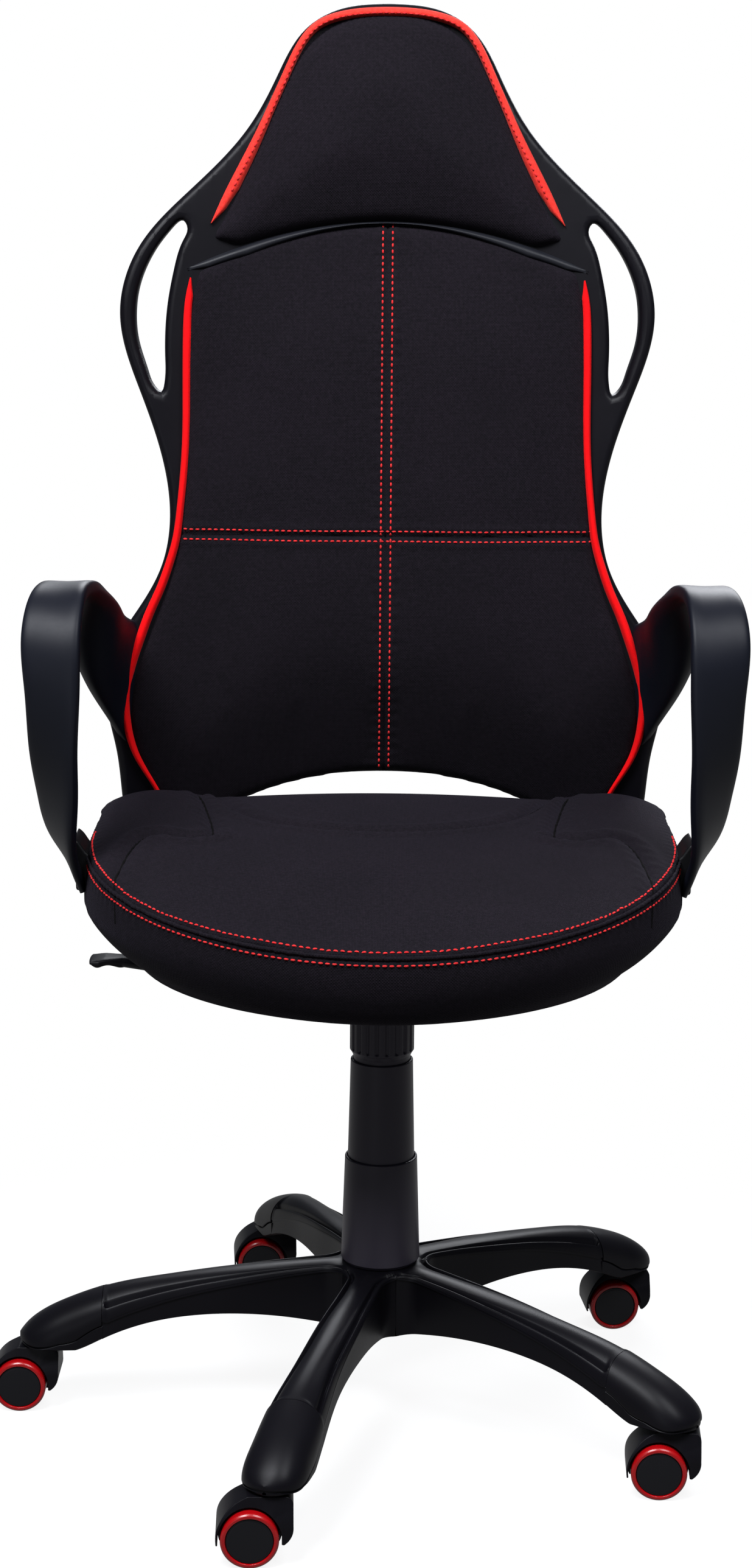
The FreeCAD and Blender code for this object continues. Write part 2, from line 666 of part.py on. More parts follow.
def lever_paddle():
    """A flat finger grip, thick at its root and notched below."""
    reach = value("paddle_reach")
    inner = value("paddle_inner")
    back = value("paddle_back")
    height = value("paddle_height")
    outline = Part.Wire([
        line((-inner, back - 10, 0), (-reach + 17, back - 17, 0)),
        arc((-reach + 17, back - 17, 0), (-reach, back, 0), (-reach + 17, back + 17, 0)),
        line((-reach + 17, back + 17, 0), (-inner, back + 10, 0)),
        line((-inner, back + 10, 0), (-inner, back - 10, 0)),
    ])
    plan = prism(outline, (0, 0, 40))
    plan.translate(Vector(0, 0, height - 20))
    side = Part.Wire([
        arc((-inner, 0, height + 4.6), (-inner - 20, 0, height + 4.6), (-reach, 0, height + 1)),
        line((-reach, 0, height + 1), (-reach, 0, height - 3)),
        line((-reach, 0, height - 3), (-inner - 34, 0, height - 3.5)),
        arc((-inner - 34, 0, height - 3.5), (-inner - 28, 0, height - 1.8), (-inner - 22, 0, height - 5)),
        arc((-inner - 22, 0, height - 5), (-inner - 16, 0, height - 3.2), (-inner - 10, 0, height - 6)),
        line((-inner - 10, 0, height - 6), (-inner, 0, height - 6)),
        line((-inner, 0, height - 6), (-inner, 0, height + 4.6)),
    ])
    block = prism(side, (0, 60, 0))
    block.translate(Vector(0, back - 30, 0))
    return shaped("lever_paddle", plan.common(block).cut(rod.Shape))


keep(lever_paddle())

# Seat: plywood board, steel arm brackets and a crowned cushion


def seat_board():
    body = new_body("seat_board")
    wide = "board_half_width"
    outline = polygon_sketch(body, "XY_Plane", [
        ("0 - board_half_width + 90", "0 - board_front"), ("board_half_width - 90", "0 - board_front"),
        (wide, "0 - board_front + 110"), (wide, "board_rear - 40"), ("board_half_width - 40", "board_rear"),
        ("0 - board_half_width + 40", "board_rear"), ("0 - board_half_width", "board_rear - 40"),
        ("0 - board_half_width", "0 - board_front + 110"),
    ], "board_outline")
    outline.AttachmentOffset = FreeCAD.Placement(Vector(0, 0, value("seat_foot")), FreeCAD.Rotation())
    doc.recompute()
    pad(body, outline, "board_thickness")
    return body


board = keep(seat_board())


def arm_bolts():
    """Two bolts through the strap into the bracket, heads outside."""
    bolts = []
    for y in (-8, 14):
        shank = cylinder(4, 32, (-258, y, 522), (-1, 0, 0))
        head = cylinder(7, 4, (-289, y, 522), (-1, 0, 0))
        bolts.append(shank.fuse(head))
    return bolts


def arm_bracket():
    """Steel angle on the board with a spacer block that reaches the armrest."""
    base = value("seat_foot + board_thickness")
    riser = Part.makeBox(5, 60, 92, Vector(-243, -26, base))
    foot = Part.makeBox(60, 60, 5, Vector(-243, -26, base))
    block = Part.makeBox(34.2, 46, 38, Vector(-277.2, -20, 509))
    block = block.makeFillet(5, [e for e in block.Edges if abs(e.tangentAt(e.FirstParameter).x) > 0.9])
    whole = riser.fuse(foot).fuse(block)
    for bolt in arm_bolts():
        whole = whole.cut(bolt)
    return whole


bracket = arm_bracket()
keep(shaped("arm_brackets", Part.makeCompound([bracket, mirrored(bracket)])))


def seat_outline(inset, height, shift=0.0):
    """Cushion outline seen from above: round front, straight sides and rounded rear corners."""
    radius = value("seat_radius") - inset
    centre = value("seat_centre") - shift
    rear = value("seat_rear") - inset + 0.8 * shift
    corner = value("seat_corner") - 0.5 * inset
    turn = rear - corner
    diagonal = corner * math.sqrt(0.5)
    half = radius * math.sqrt(0.5)
    front = (0, centre - radius, height)
    left = (-radius, centre, height)
    right = (radius, centre, height)
    right_turn = (radius, turn, height)
    left_turn = (-radius, turn, height)
    flat = radius - corner
    return Part.Wire([
        arc(left, (-half, centre - half, height), front),
        arc(front, (half, centre - half, height), right),
        line(right, right_turn),
        arc(right_turn, (flat + diagonal, turn + diagonal, height), (flat, rear, height)),
        line((flat, rear, height), (-flat, rear, height)),
        arc((-flat, rear, height), (-flat - diagonal, turn + diagonal, height), left_turn),
        line(left_turn, left),
    ])


def under_crown(drop):
    """Everything below the crowned top, which rises to the rear and falls to all its edges."""
    sections = []
    for x in (-290, -262, -200, -100, 0, 100, 200, 262, 290):
        fall = drop + 0.00022 * x * x + (0.02 * max(abs(x) - 230, 0)) ** 2 * 6
        points = [
            (x, -262, 492 - fall), (x, -236, 514 - fall), (x, -190, 531 - fall), (x, -100, 551 - fall),
            (x, 0, 561 - fall), (x, 100, 563 - fall), (x, 180, 556 - fall), (x, 212, 546 - fall),
            (x, 230, 534 - fall),
        ]
        low = [(x, 230, 420), (x, -262, 420)]
        sections.append(Part.Wire([
            spline(points), line(points[-1], low[0]), line(low[0], low[1]), line(low[1], points[0]),
        ]))
    return Part.makeLoft(sections, True, False)


def seat_cushion():
    foot = value("seat_foot")
    layers = [(52, foot, 26), (33, foot + 5, 18), (15, foot + 18, 7), (3, foot + 42, 1),
              (0, foot + 62, 0), (3, foot + 84, 0), (11, foot + 106, 0), (25, foot + 126, 0),
              (44, foot + 142, 0)]
    solid = Part.makeLoft([seat_outline(*layer) for layer in layers], True, False)
    solid = solid.common(under_crown(0)).cut(board.Shape)
    for hidden in [bracket] + arm_bolts():
        solid = solid.cut(hidden).cut(mirrored(hidden))
    return shaped("seat_cushion", max(solid.Solids, key=lambda s: s.Volume))


keep(seat_cushion())

# Back: all its pieces follow one bent and curled sheet


def back_face(z):
    """How far behind the column the face of the frame is, on the middle line."""
    bend = value("lumbar_bend")
    rise = math.sqrt((z - value("lumbar_height")) ** 2 + bend ** 2) - bend
    return value("lumbar_depth") + value("back_slope") * rise


def curl(x):
    return -value("wing_curl") * (x / value("wing_width")) ** 2


def slab(front, rear, half_width=300):
    """The bent sheet between two depths, wide enough for every back piece."""
    heights = [430, 520, 610, 700, 790, 900, 1030, 1170, 1340]
    sections = []
    for x in (-half_width, -half_width / 2, 0, half_width / 2, half_width):
        near = [(x, back_face(z) + curl(x) + front, z) for z in heights]
        far = [(x, back_face(z) + curl(x) + rear, z) for z in reversed(heights)]
        ends = [line(near[-1], far[0]), line(far[-1], near[0])]
        sections.append(Part.Wire([spline(near), ends[0], spline(far), ends[1]]))
    return Part.makeLoft(sections, True, False)


def outline_prism(wire):
    return Part.Face(wire).extrude(Vector(0, 400, 0))


def in_front(points):
    return [(x, 50, z) for x, z in points]


# half outlines of the back, as half width and height
FRAME_SIDE = [
    (0, 1320), (50, 1314), (82, 1295), (110, 1249), (136, 1202), (201, 1133), (243, 1085), (261, 1022),
    (242, 946), (218, 876), (212, 828), (220, 778), (251, 724), (273, 678), (270, 638), (254, 590),
    (250, 540), (246, 490), (238, 447),
]
LOOP_HOLE = [
    (200, 1107), (225, 1086), (240, 1056), (243, 1022), (236, 985), (224, 955), (216, 957),
    (214, 1000), (212, 1035), (206, 1068), (197, 1097),
]
PAD_SIDE = [(185, 1070), (196, 1035), (198, 960), (200, 880), (207, 812), (226, 754), (249, 690),
            (257, 640), (247, 590), (225, 548), (204, 512)]
HEAD_SIDE = [(0, 1315), (45, 1309), (74, 1291), (98, 1262), (113, 1233), (128, 1200), (150, 1156),
             (172, 1111)]


def frame_outline():
    top = spline([(x, 50, z) for x, z in reversed(FRAME_SIDE[1:9])] + [(0, 50, FRAME_SIDE[0][1])]
                 + [(-x, 50, z) for x, z in FRAME_SIDE[1:9]])
    right = spline(in_front(FRAME_SIDE[8:]))
    left = spline([(-x, 50, z) for x, z in reversed(FRAME_SIDE[8:])])
    inner = 200
    foot = value("back_foot")
    arch = 582
    lower = Part.Wire([
        line((FRAME_SIDE[-1][0], 50, foot), (inner, 50, foot)),
        line((inner, 50, foot), (inner - 2, 50, 500)),
        arc((inner - 2, 50, 500), (0, 50, arch), (2 - inner, 50, 500)),
        line((2 - inner, 50, 500), (-inner, 50, foot)),
        line((-inner, 50, foot), (-FRAME_SIDE[-1][0], 50, foot)),
    ])
    return Part.Wire([top, right] + lower.Edges + [left])


def pad_outline(inset):
    """Back pad: arched top and bottom edges, waisted sides."""
    side = [(x - inset, z) for x, z in PAD_SIDE]
    top_x, top_z = side[0]
    low_x, low_z = side[-1]
    right = spline(in_front(side))
    left = spline([(-x, 50, z) for x, z in reversed(side)])
    crest = arc((-top_x, 50, top_z), (0, 50, 1107 - inset), (top_x, 50, top_z))
    arch = arc((low_x, 50, low_z), (0, 50, 566 + inset), (-low_x, 50, low_z))
    return Part.Wire([crest, right, arch, left])


def head_outline(inset):
    """Headrest pad: domed top, straight flanks and an arched bottom edge."""
    side = [(max(x - inset, 0), z - inset if x < 60 else z) for x, z in HEAD_SIDE]
    curve = spline([(-x, 50, z) for x, z in reversed(side[1:])] + in_front(side))
    corner_x, corner_z = side[-1]
    low = [(corner_x, corner_z), (corner_x - 8, 1097), (138, 1094), (70, 1106), (0, 1111 + inset)]
    bottom = spline(in_front(low) + [(-x, 50, z) for x, z in reversed(low[:-1])])
    return Part.Wire([curve, bottom])


def ring_hole():
    """Opening of the frame behind the back pad, which sits on a ledge round it."""
    points = [(0, 1078), (150, 1056), (166, 1000), (168, 900), (176, 810), (205, 720), (218, 650), (196, 590)]
    low = arc((196, 50, 590), (0, 50, 614), (-196, 50, 590))
    loop = spline([(-x, 50, z) for x, z in reversed(points[1:])] + in_front(points))
    return Part.Wire([loop, low])


def head_hole():
    points = [(0, 1282), (50, 1266), (84, 1216), (130, 1138)]
    low = arc((130, 50, 1138), (0, 50, 1146), (-130, 50, 1138))
    loop = spline([(-x, 50, z) for x, z in reversed(points[1:])] + in_front(points))
    return Part.Wire([loop, low])


def loop_hole(sign):
    points = [(sign * x, 50, z) for x, z in LOOP_HOLE]
    return Part.Wire([spline(points, closed=True)])


def back_foot():
    """Foot of a frame leg: a block at its end and a tongue that is bolted under the seat board."""
    foot = value("seat_foot")
    tongue = Part.makeBox(34, 150, 9, Vector(158, 104, foot - 9))
    block = Part.makeBox(80, 24, 26, Vector(158, 232, foot - 9))
    rib = prism(polyline([
        (171, 232, foot), (171, 232, foot + 16), (171, 212, foot), (171, 180, foot), (171, 180, foot - 3),
        (171, 232, foot - 3),
    ]), (8, 0, 0))
    return tongue.fuse(block).fuse(rib.cut(board.Shape))


ledge = value("ledge_depth")
depth = value("frame_depth")


def back_frame():
    outline = outline_prism(frame_outline())
    for hole in (ring_hole(), head_hole(), loop_hole(1), loop_hole(-1)):
        outline = outline.cut(outline_prism(hole))
    solid = outline.common(slab(0, depth))
    recess = slab(-5, ledge)
    for seat in (pad_outline(0), head_outline(0)):
        solid = solid.cut(outline_prism(seat).common(recess))
    foot = back_foot()
    return solid.fuse(foot).fuse(mirrored(foot))


frame_solid = back_frame()
keep(shaped("back_frame", frame_solid))


def back_shell():
    """Rear panel inside the frame, a little proud of the ledge."""
    panel = outline_prism(ring_hole()).common(slab(ledge, ledge + 4))
    head = outline_prism(head_hole()).common(slab(ledge, ledge + 4))
    return shaped("back_shell", Part.makeCompound([panel, head]))


keep(back_shell())

BAND = 8.5
behind_ledge = slab(ledge, 60)


def crowned_pad(wire, heights, half_widths, crown, edge):
    """A pad that lies on the bent sheet, bulged in front, its sides drawn in."""
    sections = []
    for z, half, bulge in zip(heights, half_widths, crown):
        base = back_face(z)
        side = base + curl(half)
        front = [(-half, side - edge, z), (0, base - bulge, z), (half, side - edge, z)]
        rear = [(half, side + ledge + 5, z), (0, base + ledge + 5, z), (-half, side + ledge + 5, z)]
        sections.append(Part.Wire([
            arc(*front), line(front[-1], rear[0]), arc(*rear), line(rear[-1], front[0]),
        ]))
    block = Part.makeLoft(sections, True, False).common(outline_prism(wire))
    return block.cut(behind_ledge).cut(frame_solid)


def back_cushion():
    bulge = value("pad_crown")
    heights = [495, 560, 630, 700, 780, 880, 980, 1060, 1112]
    halves = [268, 262, 262, 256, 222, 206, 204, 200, 196]
    crown = [bulge * k for k in (0.75, 0.95, 1.05, 1.0, 0.85, 0.75, 0.8, 0.75, 0.5)]
    solid = crowned_pad(pad_outline(BAND), heights, halves, crown, 3)
    return shaped("back_cushion", solid)


def headrest_cushion():
    bulge = value("head_crown")
    heights = [1085, 1120, 1170, 1220, 1270, 1320]
    halves = [186, 178, 158, 136, 112, 84]
    crown = [bulge * k for k in (0.75, 1.0, 1.1, 1.05, 0.8, 0.35)]
    solid = crowned_pad(head_outline(BAND - 1), heights, halves, crown, 2)
    return shaped("headrest_cushion", solid)


keep(back_cushion())
keep(headrest_cushion())


def bands():
    """Red cloth bands between the pads and the frame."""
    strip = slab(-4, ledge)
    ring = outline_prism(pad_outline(0.4)).cut(outline_prism(pad_outline(BAND)))
    middle = Part.makeBox(2 * 150, 500, 1000, Vector(-150, 0, 400))
    sides = ring.cut(middle).common(strip).cut(frame_solid)
    above = Part.makeBox(800, 500, 300, Vector(-400, 0, 1105))
    hood = outline_prism(head_outline(0.4)).cut(outline_prism(head_outline(BAND - 1)))
    top = hood.common(above).common(strip).cut(frame_solid)
    for name, group in (("back_bands", sides), ("headrest_band", top)):
        strips = [piece for piece in group.Solids if piece.Volume > 1000]
        keep(shaped(name, Part.makeCompound(strips)))


bands()

# Armrests: a strap that rises from the seat side, turns over and widens into the back frame

# Each station of the strap: inner edge, outer edge and thickness
STRAP = [
    ((-283, -31, 508), (-283, 24, 508), 11),
    ((-283, -46, 532), (-288, 8, 532), 11),
    ((-280, -62, 562), (-300, -14, 564), 12),
    ((-276, -74, 602), (-310, -38, 604), 13),
    ((-273, -83, 645), (-316, -60, 646), 14),
    ((-269, -87, 702), (-318, -76, 703), 15),
    ((-268, -78, 749), (-319, -72, 748), 16),
    ((-267, -50, 779), (-318, -48, 777), 16),
    ((-265, -10, 785), (-315, -10, 784), 16),
    ((-262, 46, 781), (-311, 48, 773), 16),
    ((-260, 100, 771), (-300, 106, 724), 15),
    ((-257, 148, 754), (-285, 153, 670), 14),
    ((-254, 186, 737), (-271, 190, 634), 13),
    ((-244, 214, 722), (-252, 216, 592), 12),
]


def strap_section(i):
    """A rounded rectangle square to the strap at one station."""
    inner, outer, thick = STRAP[i]
    a = Vector(*inner)
    b = Vector(*outer)
    before = STRAP[max(i - 1, 0)]
    after = STRAP[min(i + 1, len(STRAP) - 1)]
    run = Vector(*after[0]) + Vector(*after[1]) - Vector(*before[0]) - Vector(*before[1])
    across = (b - a).normalize()
    normal = across.cross(run).normalize()
    radius = 0.36 * thick
    half = thick / 2
    corner = radius * (1 - math.sqrt(0.5))
    length = (b - a).Length

    def at(along, out):
        return a + across * along + normal * out

    edges = []
    quarters = [
        ((radius, -half), (length - radius, -half), (length - corner, corner - half),
         (length, radius - half)),
        ((length, radius - half), (length, half - radius), (length - corner, half - corner),
         (length - radius, half)),
        ((length - radius, half), (radius, half), (corner, half - corner), (0, half - radius)),
        ((0, half - radius), (0, radius - half), (corner, corner - half), (radius, -half)),
    ]
    for start, straight, bend, end in quarters:
        edges.append(Part.makeLine(at(*start), at(*straight)))
        edges.append(Part.Arc(at(*straight), at(*bend), at(*end)).toShape())
    return Part.Wire(edges)


def armrest():
    strap = Part.makeLoft([strap_section(i) for i in range(len(STRAP))], True, False)
    strap = strap.cut(frame_solid).cut(outline_prism(pad_outline(0)))
    if len(strap.Solids) > 1:
        strap = max(strap.Solids, key=lambda s: s.Volume)
    for bolt in arm_bolts():
        strap = strap.cut(bolt)
    return strap


right_hand = armrest()
keep(shaped("armrest_right", right_hand))
keep(shaped("armrest_left", mirrored(right_hand)))

# Twin-wheel casters, all alike, each turned as it stands


def caster_hood():
    """A fender over both wheels with a thin rear blade, a web between them and a stem boss."""
    trail = value("wheel_trail")
    axle = value("wheel_radius")
    inner = value("wheel_radius + hood_gap")
    outer = inner + value("hood_wall")
    top = value("hood_top") - axle
    wall = value("hood_reach")

    def at(x, z):
        return (x - trail, 0, z + axle)

    def round_at(radius, degrees):
        angle = math.radians(degrees)
        return at(radius * math.cos(angle), radius * math.sin(angle))

    outline = Part.Wire([
        arc(round_at(outer - 0.4, 190), round_at(outer, 165), round_at(outer + 0.8, 142)),
        spline([round_at(outer + 0.8, 142), round_at(outer + 3.4, 116), at(-2, top)]),
        line(at(-2, top), at(wall - 6, top)),
        arc(at(wall - 6, top), at(wall - 1.8, top - 1.8), at(wall, top - 6)),
        line(at(wall, top - 6), at(wall, 12)),
        arc(at(wall, 12), at(wall - 2.7, 2.5), at(29.2, -4.5)),
        line(at(29.2, -4.5), round_at(inner, -9)),
        arc(round_at(inner, -9), round_at(inner, 90), round_at(inner, 190)),
        line(round_at(inner, 190), round_at(outer - 0.4, 190)),
    ])
    wide = 2 * value("hood_half_width")
    shell = Part.Face(outline).extrude(Vector(0, wide, 0))
    shell.translate(Vector(0, -wide / 2, 0))
    # the sides of the hood lean in towards its top
    lean = Part.Wire([
        line((-80, -22, 0), (-80, -22, 40)), line((-80, -22, 40), (-80, -15, value("hood_top"))),
        line((-80, -15, value("hood_top")), (-80, 15, value("hood_top"))),
        line((-80, 15, value("hood_top")), (-80, 22, 40)), line((-80, 22, 40), (-80, 22, 0)),
        line((-80, 22, 0), (-80, -22, 0)),
    ])
    shell = shell.common(Part.Face(lean).extrude(Vector(160, 0, 0)))
    web = cylinder(inner + 0.5, 6, (-trail, -3, axle), (0, 1, 0))
    web = web.cut(Part.makeBox(80, 20, 30, Vector(-trail - 40, -10, axle - 9 - 30)))
    hood = shell.fuse(web)
    axle_hole = cylinder(value("axle_radius"), 20, (-trail, -10, axle), (0, 1, 0))
    stem_hole = cylinder(value("stem_radius"), 60, (0, 0, 48), (0, 0, 1))
    return hood.cut(axle_hole).cut(stem_hole)


def caster_pins():
    """Steel stem with a thrust collar, and the wheel axle."""
    top = value("hood_top")
    stem = cylinder(value("stem_radius"), value("stem_top") - 48, (0, 0, 48), (0, 0, 1))
    collar = cylinder(9, 2, (0, 0, top), (0, 0, 1))
    axle = cylinder(value("axle_radius"), 42, (-value("wheel_trail"), -21, value("wheel_radius")), (0, 1, 0))
    return Part.makeCompound([stem.fuse(collar), axle])


def wheel_disc():
    """Profile as radius and distance along the axle, turned about the axle."""
    body = new_body("wheel_disc_pattern")
    revolve(body, polygon_sketch(body, "XY_Plane", [
        ("0", "wheel_face - 0.6"), ("disc_radius - 2.5", "wheel_face - 0.6"),
        ("disc_radius", "wheel_face - 1.4"), ("disc_radius", "wheel_side"),
        ("disc_radius - 3", "wheel_side"), ("disc_radius - 3", "wheel_face - 4"),
        ("7", "wheel_face - 4"), ("7", "wheel_side"), ("axle_radius + running_fit", "wheel_side"),
        ("axle_radius + running_fit", "wheel_face - 2.6"), ("0", "wheel_face - 2.6"),
    ], "disc_profile"))
    return body


def wheel_tyre():
    body = new_body("wheel_tyre_pattern")
    revolve(body, polygon_sketch(body, "XY_Plane", [
        ("disc_radius", "wheel_side"), ("wheel_radius - 1.2", "wheel_side"),
        ("wheel_radius", "wheel_side + 1.2"),
        ("wheel_radius", "wheel_face - 3.6"), ("wheel_radius - 0.7", "wheel_face - 1.6"),
        ("wheel_radius - 2.2", "wheel_face - 0.2"), ("disc_radius + 1", "wheel_face"),
        ("disc_radius", "wheel_face - 0.8"),
    ], "tyre_profile"))
    return body


CASTER_TURN = [0, 2, -3, 6, 4]


def casters():
    hood = caster_hood()
    pins = caster_pins()
    disc = wheel_disc().Shape
    tyre = wheel_tyre().Shape
    axle_place = Vector(-value("wheel_trail"), 0, value("wheel_radius"))
    for i, turn in enumerate(CASTER_TURN):
        angle = math.radians(value("first_arm_angle") + i * 360 / value("arm_count"))
        reach = value("stem_circle")
        stem = Vector(reach * math.cos(angle), reach * math.sin(angle), 0)
        place = FreeCAD.Placement(stem, FreeCAD.Rotation(Vector(0, 0, 1), turn))
        name = "caster_%d_" % (i + 1)
        keep(shaped(name + "hood", hood.copy(), place))
        keep(shaped(name + "pins", pins.copy(), place))
        for side, flip in (("front", 180), ("rear", 0)):
            for piece, shape in (("disc", disc), ("tyre", tyre)):
                on_axle = FreeCAD.Placement(axle_place, FreeCAD.Rotation(Vector(0, 0, 1), flip))
                keep(shaped(name + side + "_" + piece, shape.copy(), place * on_axle))


casters()


def fasteners():
    """Bolts of the seat plate, the armrests and the back frame."""
    bolts = []
    under = value("plate_top - plate_thickness")
    for x in (-74, 74):
        for y in (-88, 88):
            bolts.append(cylinder(6.5, 3.5, (x, y, under - 3.5), (0, 0, 1)))
    for x in (-175, 175):
        for y in (118, 146):
            bolts.append(cylinder(6.5, 3.5, (x, y, value("seat_foot") - 12.5), (0, 0, 1)))
    for bolt in arm_bolts():
        bolts += [bolt, mirrored(bolt)]
    return shaped("fasteners", Part.makeCompound(bolts))


keep(fasteners())

# Check every object, then write each sub-part

doc.recompute()
for thing in doc.Objects:
    if "Invalid" in thing.State or "Error" in thing.State:
        raise RuntimeError("failed: " + thing.Label)

os.makedirs("parts", exist_ok=True)
for thing in parts:
    if thing.Shape.isNull() or not thing.Shape.isValid():
        raise RuntimeError("bad shape: " + thing.Label)
    thing.Shape.exportStep(os.path.join("parts", thing.Label + ".step"))
print("%d sub-parts" % len(parts))
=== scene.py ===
import bpy
import bmesh
import json
import math
import numpy as np
from mathutils import Matrix, Vector
from mathutils.bvhtree import BVHTree


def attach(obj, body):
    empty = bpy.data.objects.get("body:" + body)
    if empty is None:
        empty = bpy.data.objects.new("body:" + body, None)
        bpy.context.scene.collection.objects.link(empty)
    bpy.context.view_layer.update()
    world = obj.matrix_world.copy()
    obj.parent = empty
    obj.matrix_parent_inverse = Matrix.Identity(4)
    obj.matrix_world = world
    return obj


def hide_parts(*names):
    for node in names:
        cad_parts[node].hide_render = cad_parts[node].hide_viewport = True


# Swivel chair with a racing style seat. Shapes are worked out in millimetres and made in metres.
# Origin on the floor under the column, +Z up, the sitter faces -Y.

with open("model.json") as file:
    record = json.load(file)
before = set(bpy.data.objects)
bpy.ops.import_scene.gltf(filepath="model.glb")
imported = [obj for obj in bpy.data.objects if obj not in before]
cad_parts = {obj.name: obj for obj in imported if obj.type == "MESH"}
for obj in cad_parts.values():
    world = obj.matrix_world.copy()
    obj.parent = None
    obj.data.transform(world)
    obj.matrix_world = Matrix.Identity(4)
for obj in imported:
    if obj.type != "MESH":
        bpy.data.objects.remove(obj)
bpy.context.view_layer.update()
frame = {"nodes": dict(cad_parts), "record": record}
scene = bpy.context.scene
millimetre = 0.001


# Meshes

def gridFaces(rows, columns, closeRows=False, closeColumns=False):
    # Quads between neighbouring points of a grid, joined round where a direction is closed.
    i = np.arange(rows if closeRows else rows - 1)
    j = np.arange(columns if closeColumns else columns - 1)
    a, b = (part.ravel() for part in np.meshgrid(i, j, indexing="ij"))
    a2, b2 = (a + 1) % rows, (b + 1) % columns
    return np.stack([a * columns + b, a2 * columns + b, a2 * columns + b2, a * columns + b2], -1)


def meshOf(name, grids, merge=0.002, outward=True):
    # One mesh from several grids of points in millimetres; equal points are merged.
    points, quads, start = [], [], 0
    for grid, closeRows, closeColumns in grids:
        rows, columns = grid.shape[:2]
        points.append(grid.reshape(-1, 3))
        quads.append(gridFaces(rows, columns, closeRows, closeColumns) + start)
        start += rows * columns
    mesh = bpy.data.meshes.new(name)
    mesh.from_pydata((np.vstack(points) * millimetre).tolist(), [], np.vstack(quads).tolist())
    return tidyMesh(mesh, merge, outward)


def tidyMesh(mesh, merge=0.002, outward=True):
    # Merges doubles, drops faces without area and turns all faces outwards.
    work = bmesh.new()
    work.from_mesh(mesh)
    bmesh.ops.remove_doubles(work, verts=work.verts, dist=merge * millimetre)
    bmesh.ops.dissolve_degenerate(work, dist=1e-7, edges=work.edges)
    if outward:
        bmesh.ops.recalc_face_normals(work, faces=work.faces)
    for face in work.faces:
        face.smooth = True
    work.to_mesh(mesh)
    work.free()
    return mesh


def place(name, mesh, body, material, slotName, nodes=()):
    # Puts a finished mesh on its body and lets it stand for its CAD nodes.
    piece = bpy.data.objects.new(name, mesh)
    scene.collection.objects.link(piece)
    mesh.materials.clear()
    mesh.materials.append(material)
    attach(piece, body)
    if nodes:
        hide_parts(*nodes)
    return piece


def crispen(piece, angle=35.0):
    # Weighs normals by face area and keeps edges sharper than the angle.
    work = bmesh.new()
    work.from_mesh(piece.data)
    limit = math.radians(angle)
    for edge in work.edges:
        edge.smooth = edge.calc_face_angle(0.0) < limit
    work.to_mesh(piece.data)
    work.free()
    weight = piece.modifiers.new("weights", "WEIGHTED_NORMAL")
    weight.keep_sharp = True
    return piece


def withModifiers(piece):
    # The mesh that an object or curve has after its modifiers.
    return bpy.data.meshes.new_from_object(piece.evaluated_get(bpy.context.evaluated_depsgraph_get()))


def smoothFaces(mesh):
    # Shades all faces smooth.
    mesh.polygons.foreach_set("use_smooth", np.ones(len(mesh.polygons), dtype=bool))
    return mesh


def roundedBlock(work, centre, size, rounding, steps):
    # A block with rounded edges, added to a mesh in work.
    made = bmesh.ops.create_cube(work, size=millimetre)
    bmesh.ops.scale(work, vec=size, verts=made["verts"])
    bmesh.ops.translate(work, vec=Vector(centre) * millimetre, verts=made["verts"])
    edges = list({edge for vert in made["verts"] for edge in vert.link_edges})
    bmesh.ops.bevel(work, geom=edges, offset=rounding * millimetre, segments=steps, affect="EDGES", profile=0.5)


def coordinates(mesh):
    # Places of the points in millimetres.
    flat = np.empty(len(mesh.vertices) * 3)
    mesh.vertices.foreach_get("co", flat)
    return flat.reshape(-1, 3) / millimetre


def setCoordinates(mesh, points):
    # Moves the points to places given in millimetres.
    mesh.vertices.foreach_set("co", (points * millimetre).ravel())
    mesh.update()


def normals(mesh):
    # Outward direction at each point.
    flat = np.empty(len(mesh.vertices) * 3)
    mesh.vertex_normals.foreach_get("vector", flat)
    return flat.reshape(-1, 3)


def unit(vectors):
    # Rows of vectors, each brought to length 1.
    return vectors / np.maximum(np.linalg.norm(vectors, axis=1, keepdims=True), 1e-9)


def runLength(points):
    # Length from the first point to each point of a line.
    return np.concatenate([[0], np.cumsum(np.linalg.norm(np.diff(points, axis=0), axis=1))])


def evenAlong(points, count):
    # Points spaced evenly along straight runs.
    length = runLength(points)
    even = np.linspace(0, length[-1], count)
    return np.stack([np.interp(even, length, points[:, k]) for k in range(points.shape[1])], -1)


def closedEnds(sections):
    # Rings of points with all of the first and of the last ring drawn together at both ends.
    ends = [np.broadcast_to(sections[k].mean(0), sections[:1].shape) for k in (0, -1)]
    return np.vstack([ends[0], sections, ends[1]])


def smoothStep(low, high, x):
    # 0 below low, 1 above high, and a cubic ease between them.
    t = np.clip((np.asarray(x, float) - low) / (high - low), 0, 1)
    return t * t * (3 - 2 * t)


def bump(x, half):
    # A raised cosine: 1 at 0, and 0 at half and beyond.
    return np.where(np.abs(x) < half, 0.5 + 0.5 * np.cos(np.pi * np.clip(x / half, -1, 1)), 0.0)


